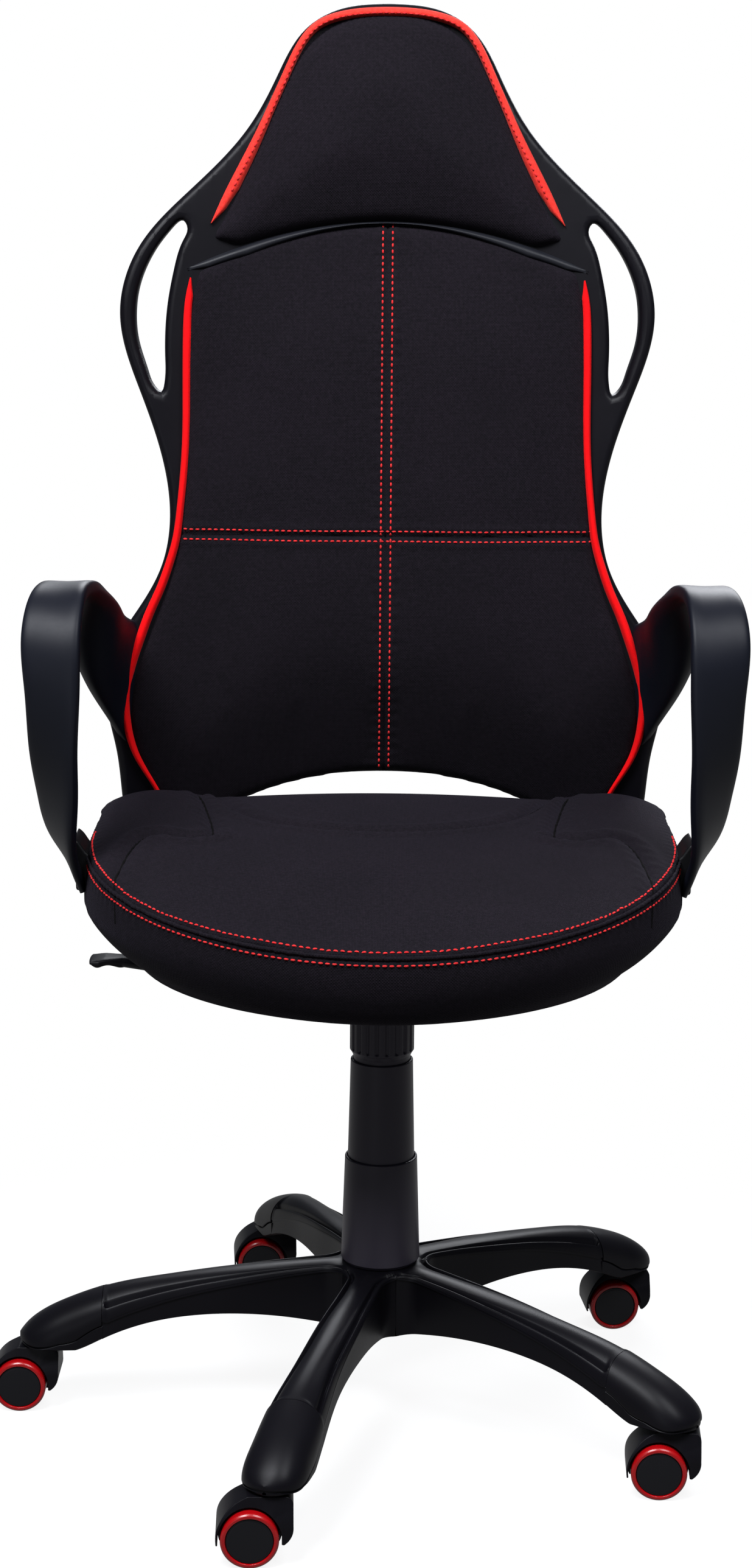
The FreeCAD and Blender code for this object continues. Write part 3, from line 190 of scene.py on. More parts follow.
def curveThrough(points, count, closed=False):
    # Points spaced evenly along a natural cubic spline through the given ones, by chord length.
    points = np.asarray(points, float)
    if closed:
        points = np.vstack([points[-3:], points, points[:4]])
    chord = runLength(points)
    n = len(points)
    h = np.diff(chord)
    system = np.eye(n)
    right = np.zeros((n, points.shape[1]))
    for k in range(1, n - 1):
        system[k, k - 1:k + 2] = h[k - 1], 2 * (h[k - 1] + h[k]), h[k]
        right[k] = 6 * ((points[k + 1] - points[k]) / h[k] - (points[k] - points[k - 1]) / h[k - 1])
    bend = np.linalg.solve(system, right)

    def at(t):
        # The cubic between two given points, at chord lengths t.
        k = np.clip(np.searchsorted(chord, t, side="right") - 1, 0, n - 2)
        a = ((chord[k + 1] - t) / h[k])[:, None]
        b = ((t - chord[k]) / h[k])[:, None]
        cubic = (a ** 3 - a) * bend[k] + (b ** 3 - b) * bend[k + 1]
        return a * points[k] + b * points[k + 1] + cubic * (h[k] ** 2)[:, None] / 6

    low, high = (chord[3], chord[-4]) if closed else (0, chord[-1])
    dense = at(np.linspace(low, high, 40 * n))
    length = runLength(dense)
    even = np.linspace(0, length[-1], count, endpoint=not closed)
    return at(np.interp(even, length, np.linspace(low, high, 40 * n)))


def arcPoints(start, middle, end, count):
    # Points along the circle through three points of a plane.
    (ax, ay), (bx, by), (cx, cy) = start, middle, end
    d = 2 * (ax * (by - cy) + bx * (cy - ay) + cx * (ay - by))
    ux = ((ax**2 + ay**2) * (by - cy) + (bx**2 + by**2) * (cy - ay) + (cx**2 + cy**2) * (ay - by)) / d
    uy = ((ax**2 + ay**2) * (cx - bx) + (bx**2 + by**2) * (ax - cx) + (cx**2 + cy**2) * (bx - ax)) / d
    radius = math.hypot(ax - ux, ay - uy)
    first, mid, last = (math.atan2(y - uy, x - ux) for x, y in (start, middle, end))
    turn = (last - first) % (2 * math.pi)
    if (mid - first) % (2 * math.pi) > turn:
        turn -= 2 * math.pi
    angles = first + np.linspace(0, turn, count)
    return np.stack([ux + radius * np.cos(angles), uy + radius * np.sin(angles)], -1)


def edgeDistance(points, outline):
    # Distance in a plane from each point to a closed outline of short straight runs.
    result = np.full(len(points), 1e9)
    ends = np.roll(outline, -1, axis=0)
    for first in range(0, len(outline), 64):
        a, b = outline[first:first + 64], ends[first:first + 64]
        run = b - a
        size = np.maximum((run ** 2).sum(1), 1e-12)
        t = np.clip(((points[:, None] - a) * run).sum(2) / size, 0, 1)
        near = a + t[..., None] * run
        result = np.minimum(result, np.linalg.norm(points[:, None] - near, axis=2).min(1))
    return result


def revolved(profile, steps, axisPoint=(0, 0, 0)):
    # A profile of radius and height carried round the upright axis through a point.
    angles = np.linspace(0, 2 * np.pi, steps, endpoint=False)
    r, z = np.asarray(profile, float).T
    grid = np.stack([np.outer(np.cos(angles), r), np.outer(np.sin(angles), r),
                     np.broadcast_to(z, (steps, len(z)))], -1)
    return grid + np.asarray(axisPoint, float)


def roundedProfile(corners, steps=5):
    # A profile whose corners, given as radius, height and rounding, are replaced by arcs.
    points = []
    count = len(corners)
    for k, (x, z, rounding) in enumerate(corners):
        here = np.array([x, z], float)
        if rounding <= 0 or k in (0, count - 1):
            points.append(here)
            continue
        before = np.array(corners[k - 1][:2], float) - here
        after = np.array(corners[k + 1][:2], float) - here
        before /= np.linalg.norm(before)
        after /= np.linalg.norm(after)
        half = 0.5 * math.acos(float(np.clip(before @ after, -1, 1)))
        reach = rounding / math.tan(half)
        middle = before + after
        centre = here + middle / np.linalg.norm(middle) * rounding / math.sin(half)
        p, q = here + before * reach - centre, here + after * reach - centre
        first, last = math.atan2(p[1], p[0]), math.atan2(q[1], q[0])
        turn = (last - first + math.pi) % (2 * math.pi) - math.pi
        for t in np.linspace(0, 1, steps + 1):
            angle = first + turn * t
            points.append(centre + rounding * np.array([math.cos(angle), math.sin(angle)]))
    return np.array(points)


# Materials

def toLinear(hexCode):
    # sRGB hex to linear colour.
    values = [int(hexCode[i:i + 2], 16) / 255 for i in (1, 3, 5)]
    return tuple(v / 12.92 if v <= 0.04045 else ((v + 0.055) / 1.055) ** 2.4 for v in values) + (1.0,)


def addNode(tree, kind, settings=None, inputs=None, output=None):
    # A shader node with its settings. An input is a value or another node's output. Gives the node, or one of
    # its outputs where that is named.
    node = tree.nodes.new("ShaderNode" + kind)
    for key, setting in (settings or {}).items():
        setattr(node, key, setting)
    for key, source in (inputs or {}).items():
        if isinstance(source, bpy.types.NodeSocket):
            tree.links.new(source, node.inputs[key])
        else:
            node.inputs[key].default_value = source
    return node if output is None else node.outputs[output]


def newMaterial(name, look):
    # A principled material; constants go straight to the shader's sockets.
    material = bpy.data.materials.new(name)
    material.use_nodes = True
    tree = material.node_tree
    tree.nodes.clear()
    shader = addNode(tree, "BsdfPrincipled", inputs=look)
    addNode(tree, "OutputMaterial", inputs={"Surface": shader.outputs["BSDF"]})
    return material, tree, shader


def threadPattern(tree, spacing):
    # Height of a plain weave on three planes, mixed by the fourth power of how far the surface faces each.
    # On each plane the threads are two sets of rounded ridges, |sin(pi a)| and |sin(pi b)|, one over the other by
    # turns: the sign of sin(pi a) times sin(pi b) says which set lies on top.
    place = addNode(tree, "TexCoord")
    scaled = addNode(tree, "VectorMath", {"operation": "SCALE"},
                     {0: place.outputs["Object"], "Scale": 1 / (spacing * millimetre)}, 0)
    parts = addNode(tree, "SeparateXYZ", inputs={0: scaled})
    faces = addNode(tree, "SeparateXYZ", inputs={0: place.outputs["Normal"]})
    sines, ridges, weights = [], [], []
    for k in range(3):
        turn = addNode(tree, "Math", {"operation": "MULTIPLY"}, {0: parts.outputs[k], 1: math.pi}, 0)
        sines.append(addNode(tree, "Math", {"operation": "SINE"}, {0: turn}, 0))
        ridges.append(addNode(tree, "Math", {"operation": "ABSOLUTE"}, {0: sines[k]}, 0))
        facing = addNode(tree, "Math", {"operation": "ABSOLUTE"}, {0: faces.outputs[k]}, 0)
        weights.append(addNode(tree, "Math", {"operation": "POWER"}, {0: facing, 1: 4.0}, 0))
    height, total = 0.0, 0.0
    for k in range(3):
        a, b = (k + 1) % 3, (k + 2) % 3
        crossing = addNode(tree, "Math", {"operation": "MULTIPLY"}, {0: sines[a], 1: sines[b]}, 0)
        upper = addNode(tree, "Math", {"operation": "SIGN"}, {0: crossing}, 0)
        share = addNode(tree, "Math", {"operation": "MULTIPLY_ADD"}, {0: upper, 1: 0.5, 2: 0.5}, 0)
        plane = addNode(tree, "Mix", {"data_type": "FLOAT"}, {0: share, 2: ridges[b], 3: ridges[a]}, 0)
        height = addNode(tree, "Math", {"operation": "MULTIPLY_ADD"}, {0: plane, 1: weights[k], 2: height}, 0)
        total = addNode(tree, "Math", {"operation": "ADD"}, {0: weights[k], 1: total}, 0)
    return addNode(tree, "Math", {"operation": "DIVIDE"}, {0: height, 1: total}, 0), place.outputs["Object"]


def wovenCloth(name, look):
    # Polyester cloth in plain weave: matt threads with dark gaps, thicker and thinner spots in the yarn, and a
    # soft sheen at grazing angles.
    material, tree, shader = newMaterial(name, {
        "Roughness": 0.92, "Specular IOR Level": 0.1, "Sheen Weight": look["sheen"],
        "Sheen Roughness": 0.45, "Sheen Tint": toLinear(look["sheenColour"])})
    height, place = threadPattern(tree, look["spacing"])
    cloud = addNode(tree, "TexNoise", inputs={
        "Vector": place, "Scale": 9.0, "Detail": 3.0, "Roughness": 0.6}, output=0)
    fibre = addNode(tree, "TexNoise", inputs={"Vector": place, "Scale": 900.0, "Detail": 2.0}, output=0)
    slub = addNode(tree, "TexNoise", inputs={"Vector": place, "Scale": 330.0, "Detail": 1.0}, output=0)
    worn = addNode(tree, "Math", {"operation": "MULTIPLY_ADD"}, {0: cloud, 1: 0.7, 2: -0.6}, 0)
    worn = addNode(tree, "Math", {"operation": "MULTIPLY_ADD"}, {0: slub, 1: 1.4, 2: worn}, 0)
    base = addNode(tree, "Mix", {"data_type": "RGBA"}, {
        0: worn, 6: toLinear(look["dark"]), 7: toLinear(look["light"])}, 2)
    fluff = addNode(tree, "Math", {"operation": "MULTIPLY"}, {0: fibre, 1: 0.45}, 0)
    shade = addNode(tree, "Math", {"operation": "MULTIPLY_ADD"}, {0: height, 1: 0.55, 2: fluff}, 0)
    colour = addNode(tree, "Mix", {"data_type": "RGBA"}, {0: shade, 6: toLinear(look["gap"]), 7: base}, 2)
    relief = addNode(tree, "Math", {"operation": "MULTIPLY_ADD"}, {0: fibre, 1: 0.6, 2: height}, 0)
    raised = addNode(tree, "Bump", inputs={
        "Strength": look["relief"], "Distance": 0.25 * look["spacing"] * millimetre, "Height": relief}, output=0)
    tree.links.new(colour, shader.inputs["Base Color"])
    tree.links.new(raised, shader.inputs["Normal"])
    return material


def mouldedPlastic(name, look):
    # Injection-moulded plastic: fine grain from the tool, slightly uneven gloss, faint scuffs.
    material, tree, shader = newMaterial(name, {
        "IOR": 1.5, "Specular IOR Level": look.get("specular", 0.5), "Coat Weight": look.get("coat", 0.0),
        "Coat Roughness": 0.12})
    place = addNode(tree, "TexCoord", output="Object")
    cloud = addNode(tree, "TexNoise", inputs={"Vector": place, "Scale": 14.0, "Detail": 4.0}, output=0)
    grain = addNode(tree, "TexVoronoi", {"feature": "SMOOTH_F1"}, {
        "Vector": place, "Scale": 1 / (look["grain"] * millimetre), "Smoothness": 0.7}, "Distance")
    speck = addNode(tree, "TexNoise", inputs={"Vector": place, "Scale": 420.0, "Detail": 2.0}, output=0)
    colour = addNode(tree, "Mix", {"data_type": "RGBA"}, {
        0: cloud, 6: toLinear(look["dark"]), 7: toLinear(look["light"])}, 2)
    uneven = addNode(tree, "Math", {"operation": "MULTIPLY_ADD"}, {
        0: cloud, 1: look["spread"], 2: look["roughness"] - look["spread"] / 2}, 0)
    rough = addNode(tree, "Math", {"operation": "MULTIPLY_ADD"}, {0: speck, 1: 0.06, 2: uneven}, 0)
    raised = addNode(tree, "Bump", inputs={
        "Strength": look["relief"], "Distance": 0.1 * look["grain"] * millimetre, "Height": grain}, output=0)
    tree.links.new(colour, shader.inputs["Base Color"])
    tree.links.new(rough, shader.inputs["Roughness"])
    tree.links.new(raised, shader.inputs["Normal"])
    return material


def machinedSteel(name, look):
    # Ground or plated steel: bright, with fine turning marks along its length.
    material, tree, shader = newMaterial(name, {"Metallic": 1.0})
    place = addNode(tree, "TexCoord", output="Object")
    marks = addNode(tree, "TexNoise", inputs={"Vector": place, "Scale": 600.0, "Detail": 2.0}, output=0)
    cloud = addNode(tree, "TexNoise", inputs={"Vector": place, "Scale": 30.0}, output=0)
    colour = addNode(tree, "Mix", {"data_type": "RGBA"}, {
        0: cloud, 6: toLinear(look["dark"]), 7: toLinear(look["light"])}, 2)
    rough = addNode(tree, "Math", {"operation": "MULTIPLY_ADD"}, {0: marks, 1: 0.2, 2: look["roughness"]}, 0)
    raised = addNode(tree, "Bump", inputs={
        "Strength": 0.12, "Distance": 0.05 * millimetre, "Height": marks}, output=0)
    tree.links.new(colour, shader.inputs["Base Color"])
    tree.links.new(rough, shader.inputs["Roughness"])
    tree.links.new(raised, shader.inputs["Normal"])
    return material


def beechPlywood(name):
    # Rotary-cut plywood: pale brown with wavy darker grain.
    material, tree, shader = newMaterial(name, {"Roughness": 0.6})
    place = addNode(tree, "TexCoord", output="Object")
    stretch = addNode(tree, "Mapping", inputs={"Vector": place, "Scale": (60.0, 5.0, 60.0)}, output=0)
    grain = addNode(tree, "TexNoise", inputs={"Vector": stretch, "Scale": 3.0, "Detail": 6.0}, output=0)
    colour = addNode(tree, "Mix", {"data_type": "RGBA"}, {
        0: grain, 6: toLinear("#8E6B45"), 7: toLinear("#CDAA7B")}, 2)
    raised = addNode(tree, "Bump", inputs={
        "Strength": 0.2, "Distance": 0.2 * millimetre, "Height": grain}, output=0)
    tree.links.new(colour, shader.inputs["Base Color"])
    tree.links.new(raised, shader.inputs["Normal"])
    return material


# Black covers: dull threads that take no gloss. Thread spacing 1.3 mm: the real one is about 0.6 mm, drawn
# coarser so that it shows.
blackCloth = wovenCloth("woven black polyester", {
    "spacing": 1.3, "dark": "#131015", "light": "#221C24", "gap": "#020203", "relief": 0.9,
    "sheen": 0.055, "sheenColour": "#8A82A0"})
# Bands along the pad: dyed polyester, bright and dull
redCloth = wovenCloth("woven red polyester", {
    "spacing": 1.1, "dark": "#F80810", "light": "#FF1418", "gap": "#D8060C", "relief": 0.4,
    "sheen": 0.1, "sheenColour": "#FF8080"})
# Painted shade: near-black cloth that draws the dark line shade makes in the valley of each seam
seamShadeCloth = wovenCloth("painted seam shade cloth", {
    "spacing": 1.3, "dark": "#050405", "light": "#080708", "gap": "#020202", "relief": 0.3,
    "sheen": 0.0, "sheenColour": "#8A82A0"})
# Band round the headrest, a little more orange than the others
coralCloth = wovenCloth("woven coral red polyester", {
    "spacing": 1.1, "dark": "#DE3028", "light": "#F84A3F", "gap": "#BE2019", "relief": 0.4,
    "sheen": 0.15, "sheenColour": "#FFA090"})
# Sewing thread: shiny twisted polyester, lighter than the bands
redThread = wovenCloth("twisted red thread", {
    "spacing": 0.5, "dark": "#D8282C", "light": "#F04844", "gap": "#B01820", "relief": 0.5,
    "sheen": 0.1, "sheenColour": "#FF9090"})
# Frame and base: injection moulded polypropylene, satin, so lights show as soft streaks
satinPlastic = mouldedPlastic("satin black polypropylene", {
    "dark": "#0A090C", "light": "#0F0E13", "grain": 0.8, "roughness": 0.36, "spread": 0.12, "relief": 0.2,
    "specular": 0.1})
# Covers of the column and collar: the same plastic painted much lighter, as painted light in place of the frontal
# light that the seat keeps off them
paintedLightCoverPlastic = mouldedPlastic("black polypropylene painted lighter", {
    "dark": "#34303A", "light": "#3D3942", "grain": 0.8, "roughness": 0.36, "spread": 0.12, "relief": 0.2,
    "specular": 0.2})
# Armrests: foamed polyurethane skin, leathery and duller
softPlastic = mouldedPlastic("soft black polyurethane", {
    "dark": "#0C0E15", "light": "#11131C", "grain": 0.7, "roughness": 0.42, "spread": 0.12, "relief": 0.22,
    "specular": 0.15})
# Edge of the frame between the pads: the same plastic painted lighter, a painted highlight on the rounded bead
highlightPaintedPlastic = mouldedPlastic("black polypropylene with painted highlight", {
    "dark": "#131419", "light": "#1A1B20", "grain": 1.5, "roughness": 0.42, "spread": 0.1, "relief": 0.1,
    "specular": 0.16})
# Wheel rings: nylon from a polished mould, with small clear highlights
glossRed = mouldedPlastic("glossy red nylon", {
    "dark": "#98050A", "light": "#A6080E", "grain": 2.5, "roughness": 0.24, "spread": 0.08, "relief": 0.04,
    "coat": 0.15, "specular": 0.3})
# Wheel centres: nylon with a faint grain
discPlastic = mouldedPlastic("black nylon", {
    "dark": "#0E0E11", "light": "#121216", "grain": 0.8, "roughness": 0.36, "spread": 0.1, "relief": 0.15,
    "specular": 0.17})
# Brackets, plates and bolts: steel under powder paint, finely pebbled
blackSteel = mouldedPlastic("black powder coat", {
    "dark": "#08080A", "light": "#0C0C0E", "grain": 1.2, "roughness": 0.45, "spread": 0.1, "relief": 0.4,
    "specular": 0.2})
# Bushes: acetal, waxy white
palePlastic = mouldedPlastic("white acetal", {
    "dark": "#C8C8C2", "light": "#DADAD4", "grain": 1.0, "roughness": 0.4, "spread": 0.05, "relief": 0.1})
# Pins, rod and lever
brightSteel = machinedSteel("ground steel", {"dark": "#A8A8AC", "light": "#C8C8CC", "roughness": 0.22})
springSteel = machinedSteel("oiled spring steel", {"dark": "#2A2A2C", "light": "#4A4A4E", "roughness": 0.35})
plywood = beechPlywood("beech plywood")

slotMaterials = {
    "black_moulding": satinPlastic, "black_fabric": blackCloth, "red_fabric": redCloth,
    "black_steel": blackSteel, "bright_steel": brightSteel, "spring_steel": springSteel,
    "bush_plastic": palePlastic, "plywood": plywood, "caster_plastic": satinPlastic,
    "wheel_ring": glossRed, "wheel_centre": discPlastic, "caster_steel": brightSteel,
}
for part in frame["record"]["subparts"]:
    solid = frame["nodes"][part["node"]].data
    solid.materials.clear()
    solid.materials.append(slotMaterials[part["material_slot"]])
print("materials ready")


# Back: one bent and curled sheet carries the frame, the pads and the bands

backForm = {"lumbarHeight": 700, "lumbarDepth": 220, "slope": 0.19, "bend": 150, "curl": 18, "curlWidth": 250}


def sheetDepth(x, z):
    # Depth of the frame's face: a hyperbola in height, less a parabola across.
    b = backForm["bend"]
    rise = np.sqrt((z - backForm["lumbarHeight"]) ** 2 + b ** 2) - b
    return backForm["lumbarDepth"] + backForm["slope"] * rise - backForm["curl"] * (x / backForm["curlWidth"]) ** 2


frameForm = {
    "outer": [(0, 1320), (50, 1314), (82, 1295), (110, 1249), (136, 1202), (201, 1133), (243, 1085), (261, 1022),
              (241, 946), (218, 876), (212, 828), (220, 778), (251, 724), (275, 678), (275, 638), (266, 592),
              (262, 550), (255, 495), (242, 447)],
    "loop": [(200, 1110), (212, 1102), (229.5, 1078), (241.5, 1050), (245.5, 1022), (242.8, 994), (234, 966),
             (226.5, 950), (221, 946), (217.8, 954), (217.2, 980), (217, 1008), (214.3, 1036), (209, 1064),
             (200, 1092), (196.3, 1103)],
    "ring": [(0, 1078), (150, 1056), (166, 1000), (168, 900), (176, 810), (205, 720), (218, 650), (196, 590)],
    "head": [(0, 1282), (50, 1266), (84, 1216), (130, 1138)],
    "depth": 26, "rounding": 7.5, "legInner": 200, "archTop": 582, "ringArch": 614, "foot": 447,
    # centre and size of the two blocks of each foot
    "feet": [((198, 244, 446), (80, 24, 26)), ((175, 179, 437.5), (34, 150, 9))],
}
# rear panels: thickness, rounding, share by which they reach under the frame's rim, place behind the sheet,
# height of the swell, and depth of the groove in it with its distance from the edge
panelForm = {"thick": 5, "rounding": 1.6, "overlap": 0.012, "behind": 15, "swell": 5.5, "groove": 2.2,
             "grooveAt": 24}


def frameOutlines():
    # Outlines in the front plane, each a spline down one side closed with its mirror image and an arc below: the
    # whole frame, the openings behind the pad and the headrest, and the two shoulder loops.
    side = curveThrough(frameForm["outer"], 260)
    inner, foot, arch = frameForm["legInner"], frameForm["foot"], frameForm["archTop"]
    low = arcPoints((inner - 2, 505), (0, arch), (2 - inner, 505), 90)
    lower = np.vstack([[(inner, foot)], low, [(-inner, foot)]])
    outer = np.vstack([side, lower, side[::-1][:-1] * [-1, 1]])
    loopRight = curveThrough(frameForm["loop"], 120, closed=True)
    ringSide = curveThrough(frameForm["ring"], 150)
    ring = np.vstack([ringSide, arcPoints((196, 590), (0, frameForm["ringArch"]), (-196, 590), 90)[1:-1],
                      ringSide[::-1][:-1] * [-1, 1]])
    headSide = curveThrough(frameForm["head"], 80)
    head = np.vstack([headSide, arcPoints((130, 1138), (0, 1146), (-130, 1138), 50)[1:-1],
                      headSide[::-1][:-1] * [-1, 1]])
    return outer, ring, head, [loopRight, loopRight * [-1, 1]]


def plateFromOutlines(name, outlines, depth, rounding, step=14):
    # A flat plate with rounded edges, cut into small faces so that it can be bent afterwards.
    curve = bpy.data.curves.new(name + " outline", "CURVE")
    curve.dimensions = "2D"
    curve.fill_mode = "BOTH"
    curve.extrude = (depth / 2 - rounding) * millimetre
    curve.bevel_depth = rounding * millimetre
    curve.bevel_resolution = 4
    curve.offset = -rounding * millimetre
    for outline in outlines:
        spline = curve.splines.new("POLY")
        spline.points.add(len(outline) - 1)
        flat = np.ones((len(outline), 4))
        flat[:, :2] = outline * millimetre
        flat[:, 2] = 0
        spline.points.foreach_set("co", flat.ravel())
        spline.use_cyclic_u = True
    holder = bpy.data.objects.new(name + " outline", curve)
    scene.collection.objects.link(holder)
    bpy.context.view_layer.update()
    flatMesh = withModifiers(holder)
    bpy.data.objects.remove(holder)
    work = bmesh.new()
    work.from_mesh(flatMesh)
    bmesh.ops.remove_doubles(work, verts=work.verts, dist=1e-6)
    low = np.min(outlines[0], axis=0)
    high = np.max(outlines[0], axis=0)
    for axis in (0, 1):
        direction = Vector((1, 0, 0)) if axis == 0 else Vector((0, 1, 0))
        for cut in np.arange(low[axis] + step / 2, high[axis], step):
            everything = work.verts[:] + work.edges[:] + work.faces[:]
            bmesh.ops.bisect_plane(work, geom=everything, plane_co=direction * cut * millimetre, plane_no=direction)
    for face in work.faces:
        face.smooth = True
    work.to_mesh(flatMesh)
    work.free()
    return flatMesh


def bendOnSheet(mesh, offset):
    # Stands a flat plate up and lays its middle plane on the sheet, offset behind its face.
    points = coordinates(mesh)
    x, z, deep = points[:, 0], points[:, 1], points[:, 2]
    setCoordinates(mesh, np.stack([x, sheetDepth(x, z) + offset - deep, z], -1))
    return mesh


def makeBackFrame():
    # The outlines as one plate with its openings, bent onto the sheet, and two blocks below for each foot.
    outer, ring, head, loops = frameOutlines()
    depth = frameForm["depth"]
    mesh = plateFromOutlines("back frame", [outer, ring, head] + loops, depth, frameForm["rounding"])
    bendOnSheet(mesh, depth / 2)
    work = bmesh.new()
    work.from_mesh(mesh)
    for side in (-1, 1):
        for (x, y, z), size in frameForm["feet"]:
            roundedBlock(work, (side * x, y, z), size, 2.4, 3)
    bmesh.ops.recalc_face_normals(work, faces=work.faces)
    work.to_mesh(mesh)
    work.free()
    crispen(place("back_frame_moulding", smoothFaces(mesh), "seat", satinPlastic, "black_moulding",
                  ["back_frame"]), 50)


makeBackFrame()


def makeBackShell():
    # Two panels that close the frame from behind, their edges under its rim.
    form = panelForm
    _, ring, head, _ = frameOutlines()
    meshes = []
    for name, outline in (("back panel", ring), ("head panel", head)):
        centre = outline.mean(0)
        wider = centre + (outline - centre) * (1 + form["overlap"])
        mesh = plateFromOutlines(name, [wider], form["thick"], form["rounding"], 5)
        bendOnSheet(mesh, form["behind"])
        points = coordinates(mesh)
        flat = points[:, [0, 2]]
        inside = edgeDistance(flat, wider)
        rearFace = points[:, 1] > sheetDepth(points[:, 0], points[:, 2]) + form["behind"]
        swell = form["swell"] * smoothStep(6, 34, inside) - form["groove"] * bump(inside - form["grooveAt"], 8)
        points[:, 1] += np.where(rearFace, swell, 0)
        setCoordinates(mesh, points)
        meshes.append(mesh)
    work = bmesh.new()
    for mesh in meshes:
        work.from_mesh(mesh)
    bmesh.ops.recalc_face_normals(work, faces=work.faces)
    joined = bpy.data.meshes.new("back panels")
    work.to_mesh(joined)
    work.free()
    crispen(place("back_panels", smoothFaces(joined), "seat", satinPlastic, "black_moulding", ["back_shell"]), 50)


makeBackShell()
print("back frame made")


# Upholstery

# how firmly the covers' cloth resists being stretched, sheared and bent, and for how many frames it swells
coverForm = {"stretch": 25, "shear": 12, "bend": 2, "frames": 20}


def inflated(name, mesh, voxel, cap, pressure, pinned):
    # Cloth under pressure: the pinned points stay, the rest swells by no more than the cap.
    piece = bpy.data.objects.new(name + " sim", mesh)
    scene.collection.objects.link(piece)
    remesh = piece.modifiers.new("voxels", "REMESH")
    remesh.mode = "VOXEL"
    remesh.voxel_size = voxel * millimetre
    bpy.context.view_layer.update()
    even = withModifiers(piece)
    piece.modifiers.clear()
    piece.data = even
    start = coordinates(even)
    for _ in range(3):
        start = relaxed(even, start, 0.5)
    setCoordinates(even, start)
    held = pinned(start)
    group = piece.vertex_groups.new(name="held")
    for level in (0.25, 0.5, 0.75, 1.0):
        chosen = np.where((held > level - 0.25) & (held <= level))[0]
        group.add(chosen.tolist(), level, "REPLACE")
    cloth = piece.modifiers.new("cloth", "CLOTH")
    cloth.settings.vertex_group_mass = "held"
    cloth.settings.use_pressure = True
    cloth.settings.uniform_pressure_force = pressure
    cloth.settings.effector_weights.gravity = 0
    cloth.settings.tension_stiffness = coverForm["stretch"]
    cloth.settings.compression_stiffness = coverForm["stretch"]
    cloth.settings.shear_stiffness = coverForm["shear"]
    cloth.settings.bending_stiffness = coverForm["bend"]
    cloth.settings.quality = 4
    cloth.point_cache.frame_end = coverForm["frames"] + 1
    for step in range(1, coverForm["frames"] + 1):
        scene.frame_set(step)
    swollen = withModifiers(piece)
    moved = coordinates(swollen) - start
    piece.modifiers.clear()
    scene.frame_set(1)
    size = np.linalg.norm(moved, axis=1, keepdims=True)
    start = start + moved * cap / (cap + size) * (1 - held[:, None] ** 2)
    setCoordinates(even, start)
    print(name, "swelled up to %.1f mm" % size.max())
    subdivide = piece.modifiers.new("finer", "SUBSURF")
    subdivide.levels = subdivide.render_levels = 1
    bpy.context.view_layer.update()
    finer = withModifiers(piece)
    bpy.data.objects.remove(piece)
    return smoothFaces(finer)


def relaxed(mesh, points, share):
    # Each point moves towards the mean of its neighbours.
    edges = np.empty(len(mesh.edges) * 2, dtype=int)
    mesh.edges.foreach_get("vertices", edges)
    a, b = edges.reshape(-1, 2).T
    total = np.zeros_like(points)
    np.add.at(total, a, points[b])
    np.add.at(total, b, points[a])
    count = np.bincount(np.concatenate([a, b]), minlength=len(points))[:, None]
    return points + share * (total / np.maximum(count, 1) - points)


def surfaceTree(mesh):
    # A search tree of the faces, to find the surface along a ray or nearest to a point.
    return BVHTree.FromPolygons([v.co.copy() for v in mesh.vertices], [p.vertices[:] for p in mesh.polygons])


def stitchMesh(name, spots, runs, ups, length, width):
    # Stitches as short capsules: an oval ring of points carried along each stitch and sunk by half.
    ring = np.linspace(0, 2 * np.pi, 8, endpoint=False)
    along = np.array([-0.5, -0.42, -0.2, 0.2, 0.42, 0.5])
    thick = np.array([0.0, 0.6, 1.0, 1.0, 0.6, 0.0])
    sides = unit(np.cross(ups, runs))
    local = (along[None, :, None, None] * length * runs[:, None, None, :]
             + thick[None, :, None, None] * 0.5 * width
             * (np.cos(ring)[None, None, :, None] * sides[:, None, None, :]
                + 0.8 * np.sin(ring)[None, None, :, None] * ups[:, None, None, :]))
    arch = (0.5 * width * (1 - (2 * along) ** 2))[None, :, None, None] * ups[:, None, None, :] * 0.6
    points = spots[:, None, None, :] + local + arch
    count = len(spots)
    cell = gridFaces(len(along), len(ring), False, True)
    faces = (cell[None] + (np.arange(count) * len(along) * len(ring))[:, None, None]).reshape(-1, 4)
    mesh = bpy.data.meshes.new(name)
    mesh.from_pydata((points.reshape(-1, 3) * millimetre).tolist(), [], faces.tolist())
    return tidyMesh(mesh, 0.0005)


def spacedAlong(path, pitch):
    # Points and directions every pitch along a line of points.
    length = runLength(path)
    places = np.arange(pitch / 2, length[-1] - pitch / 2, pitch)
    spots, ahead = (np.stack([np.interp(here, length, column) for column in path.T], -1)
                    for here in (places, places + 1.0))
    return spots, unit(ahead - spots)


padForm = {
    "side": [(187, 1088), (193, 1060), (198, 1025), (199, 960), (201, 880), (207, 812), (224, 754), (247, 690),
             (255, 640), (245, 590), (224, 548), (204, 512)],
    "topMiddle": 1111, "topDrop": 46, "lowMiddle": 568.5, "edge": 7, "crown": 17, "roll": 13,
    "lumbar": 0.35, "lumbarAt": 690,
    "seamHeight": 810, "seamHalf": 4.8,
    # the sewn cross: depth and half width of its valley, swelling beside it, how far the stitches sink, puckers
    "seamDepth": 2.8, "seamWide": 1.7, "seamPuff": 1.0, "rowSink": 0.7, "pucker": 0.35, "puckerEvery": 12,
}
headForm = {
    "side": [(176, 1106), (162, 1128), (147, 1156), (126, 1200), (111.5, 1233), (97, 1262), (88, 1276)],
    "topMiddle": 1312, "topDrop": 40, "lowMiddle": 1109, "lowSide": 1084, "edge": 12, "crown": 20, "roll": 17,
}
stitchForm = {"length": 4.3, "pitch": 6.0, "width": 1.9}


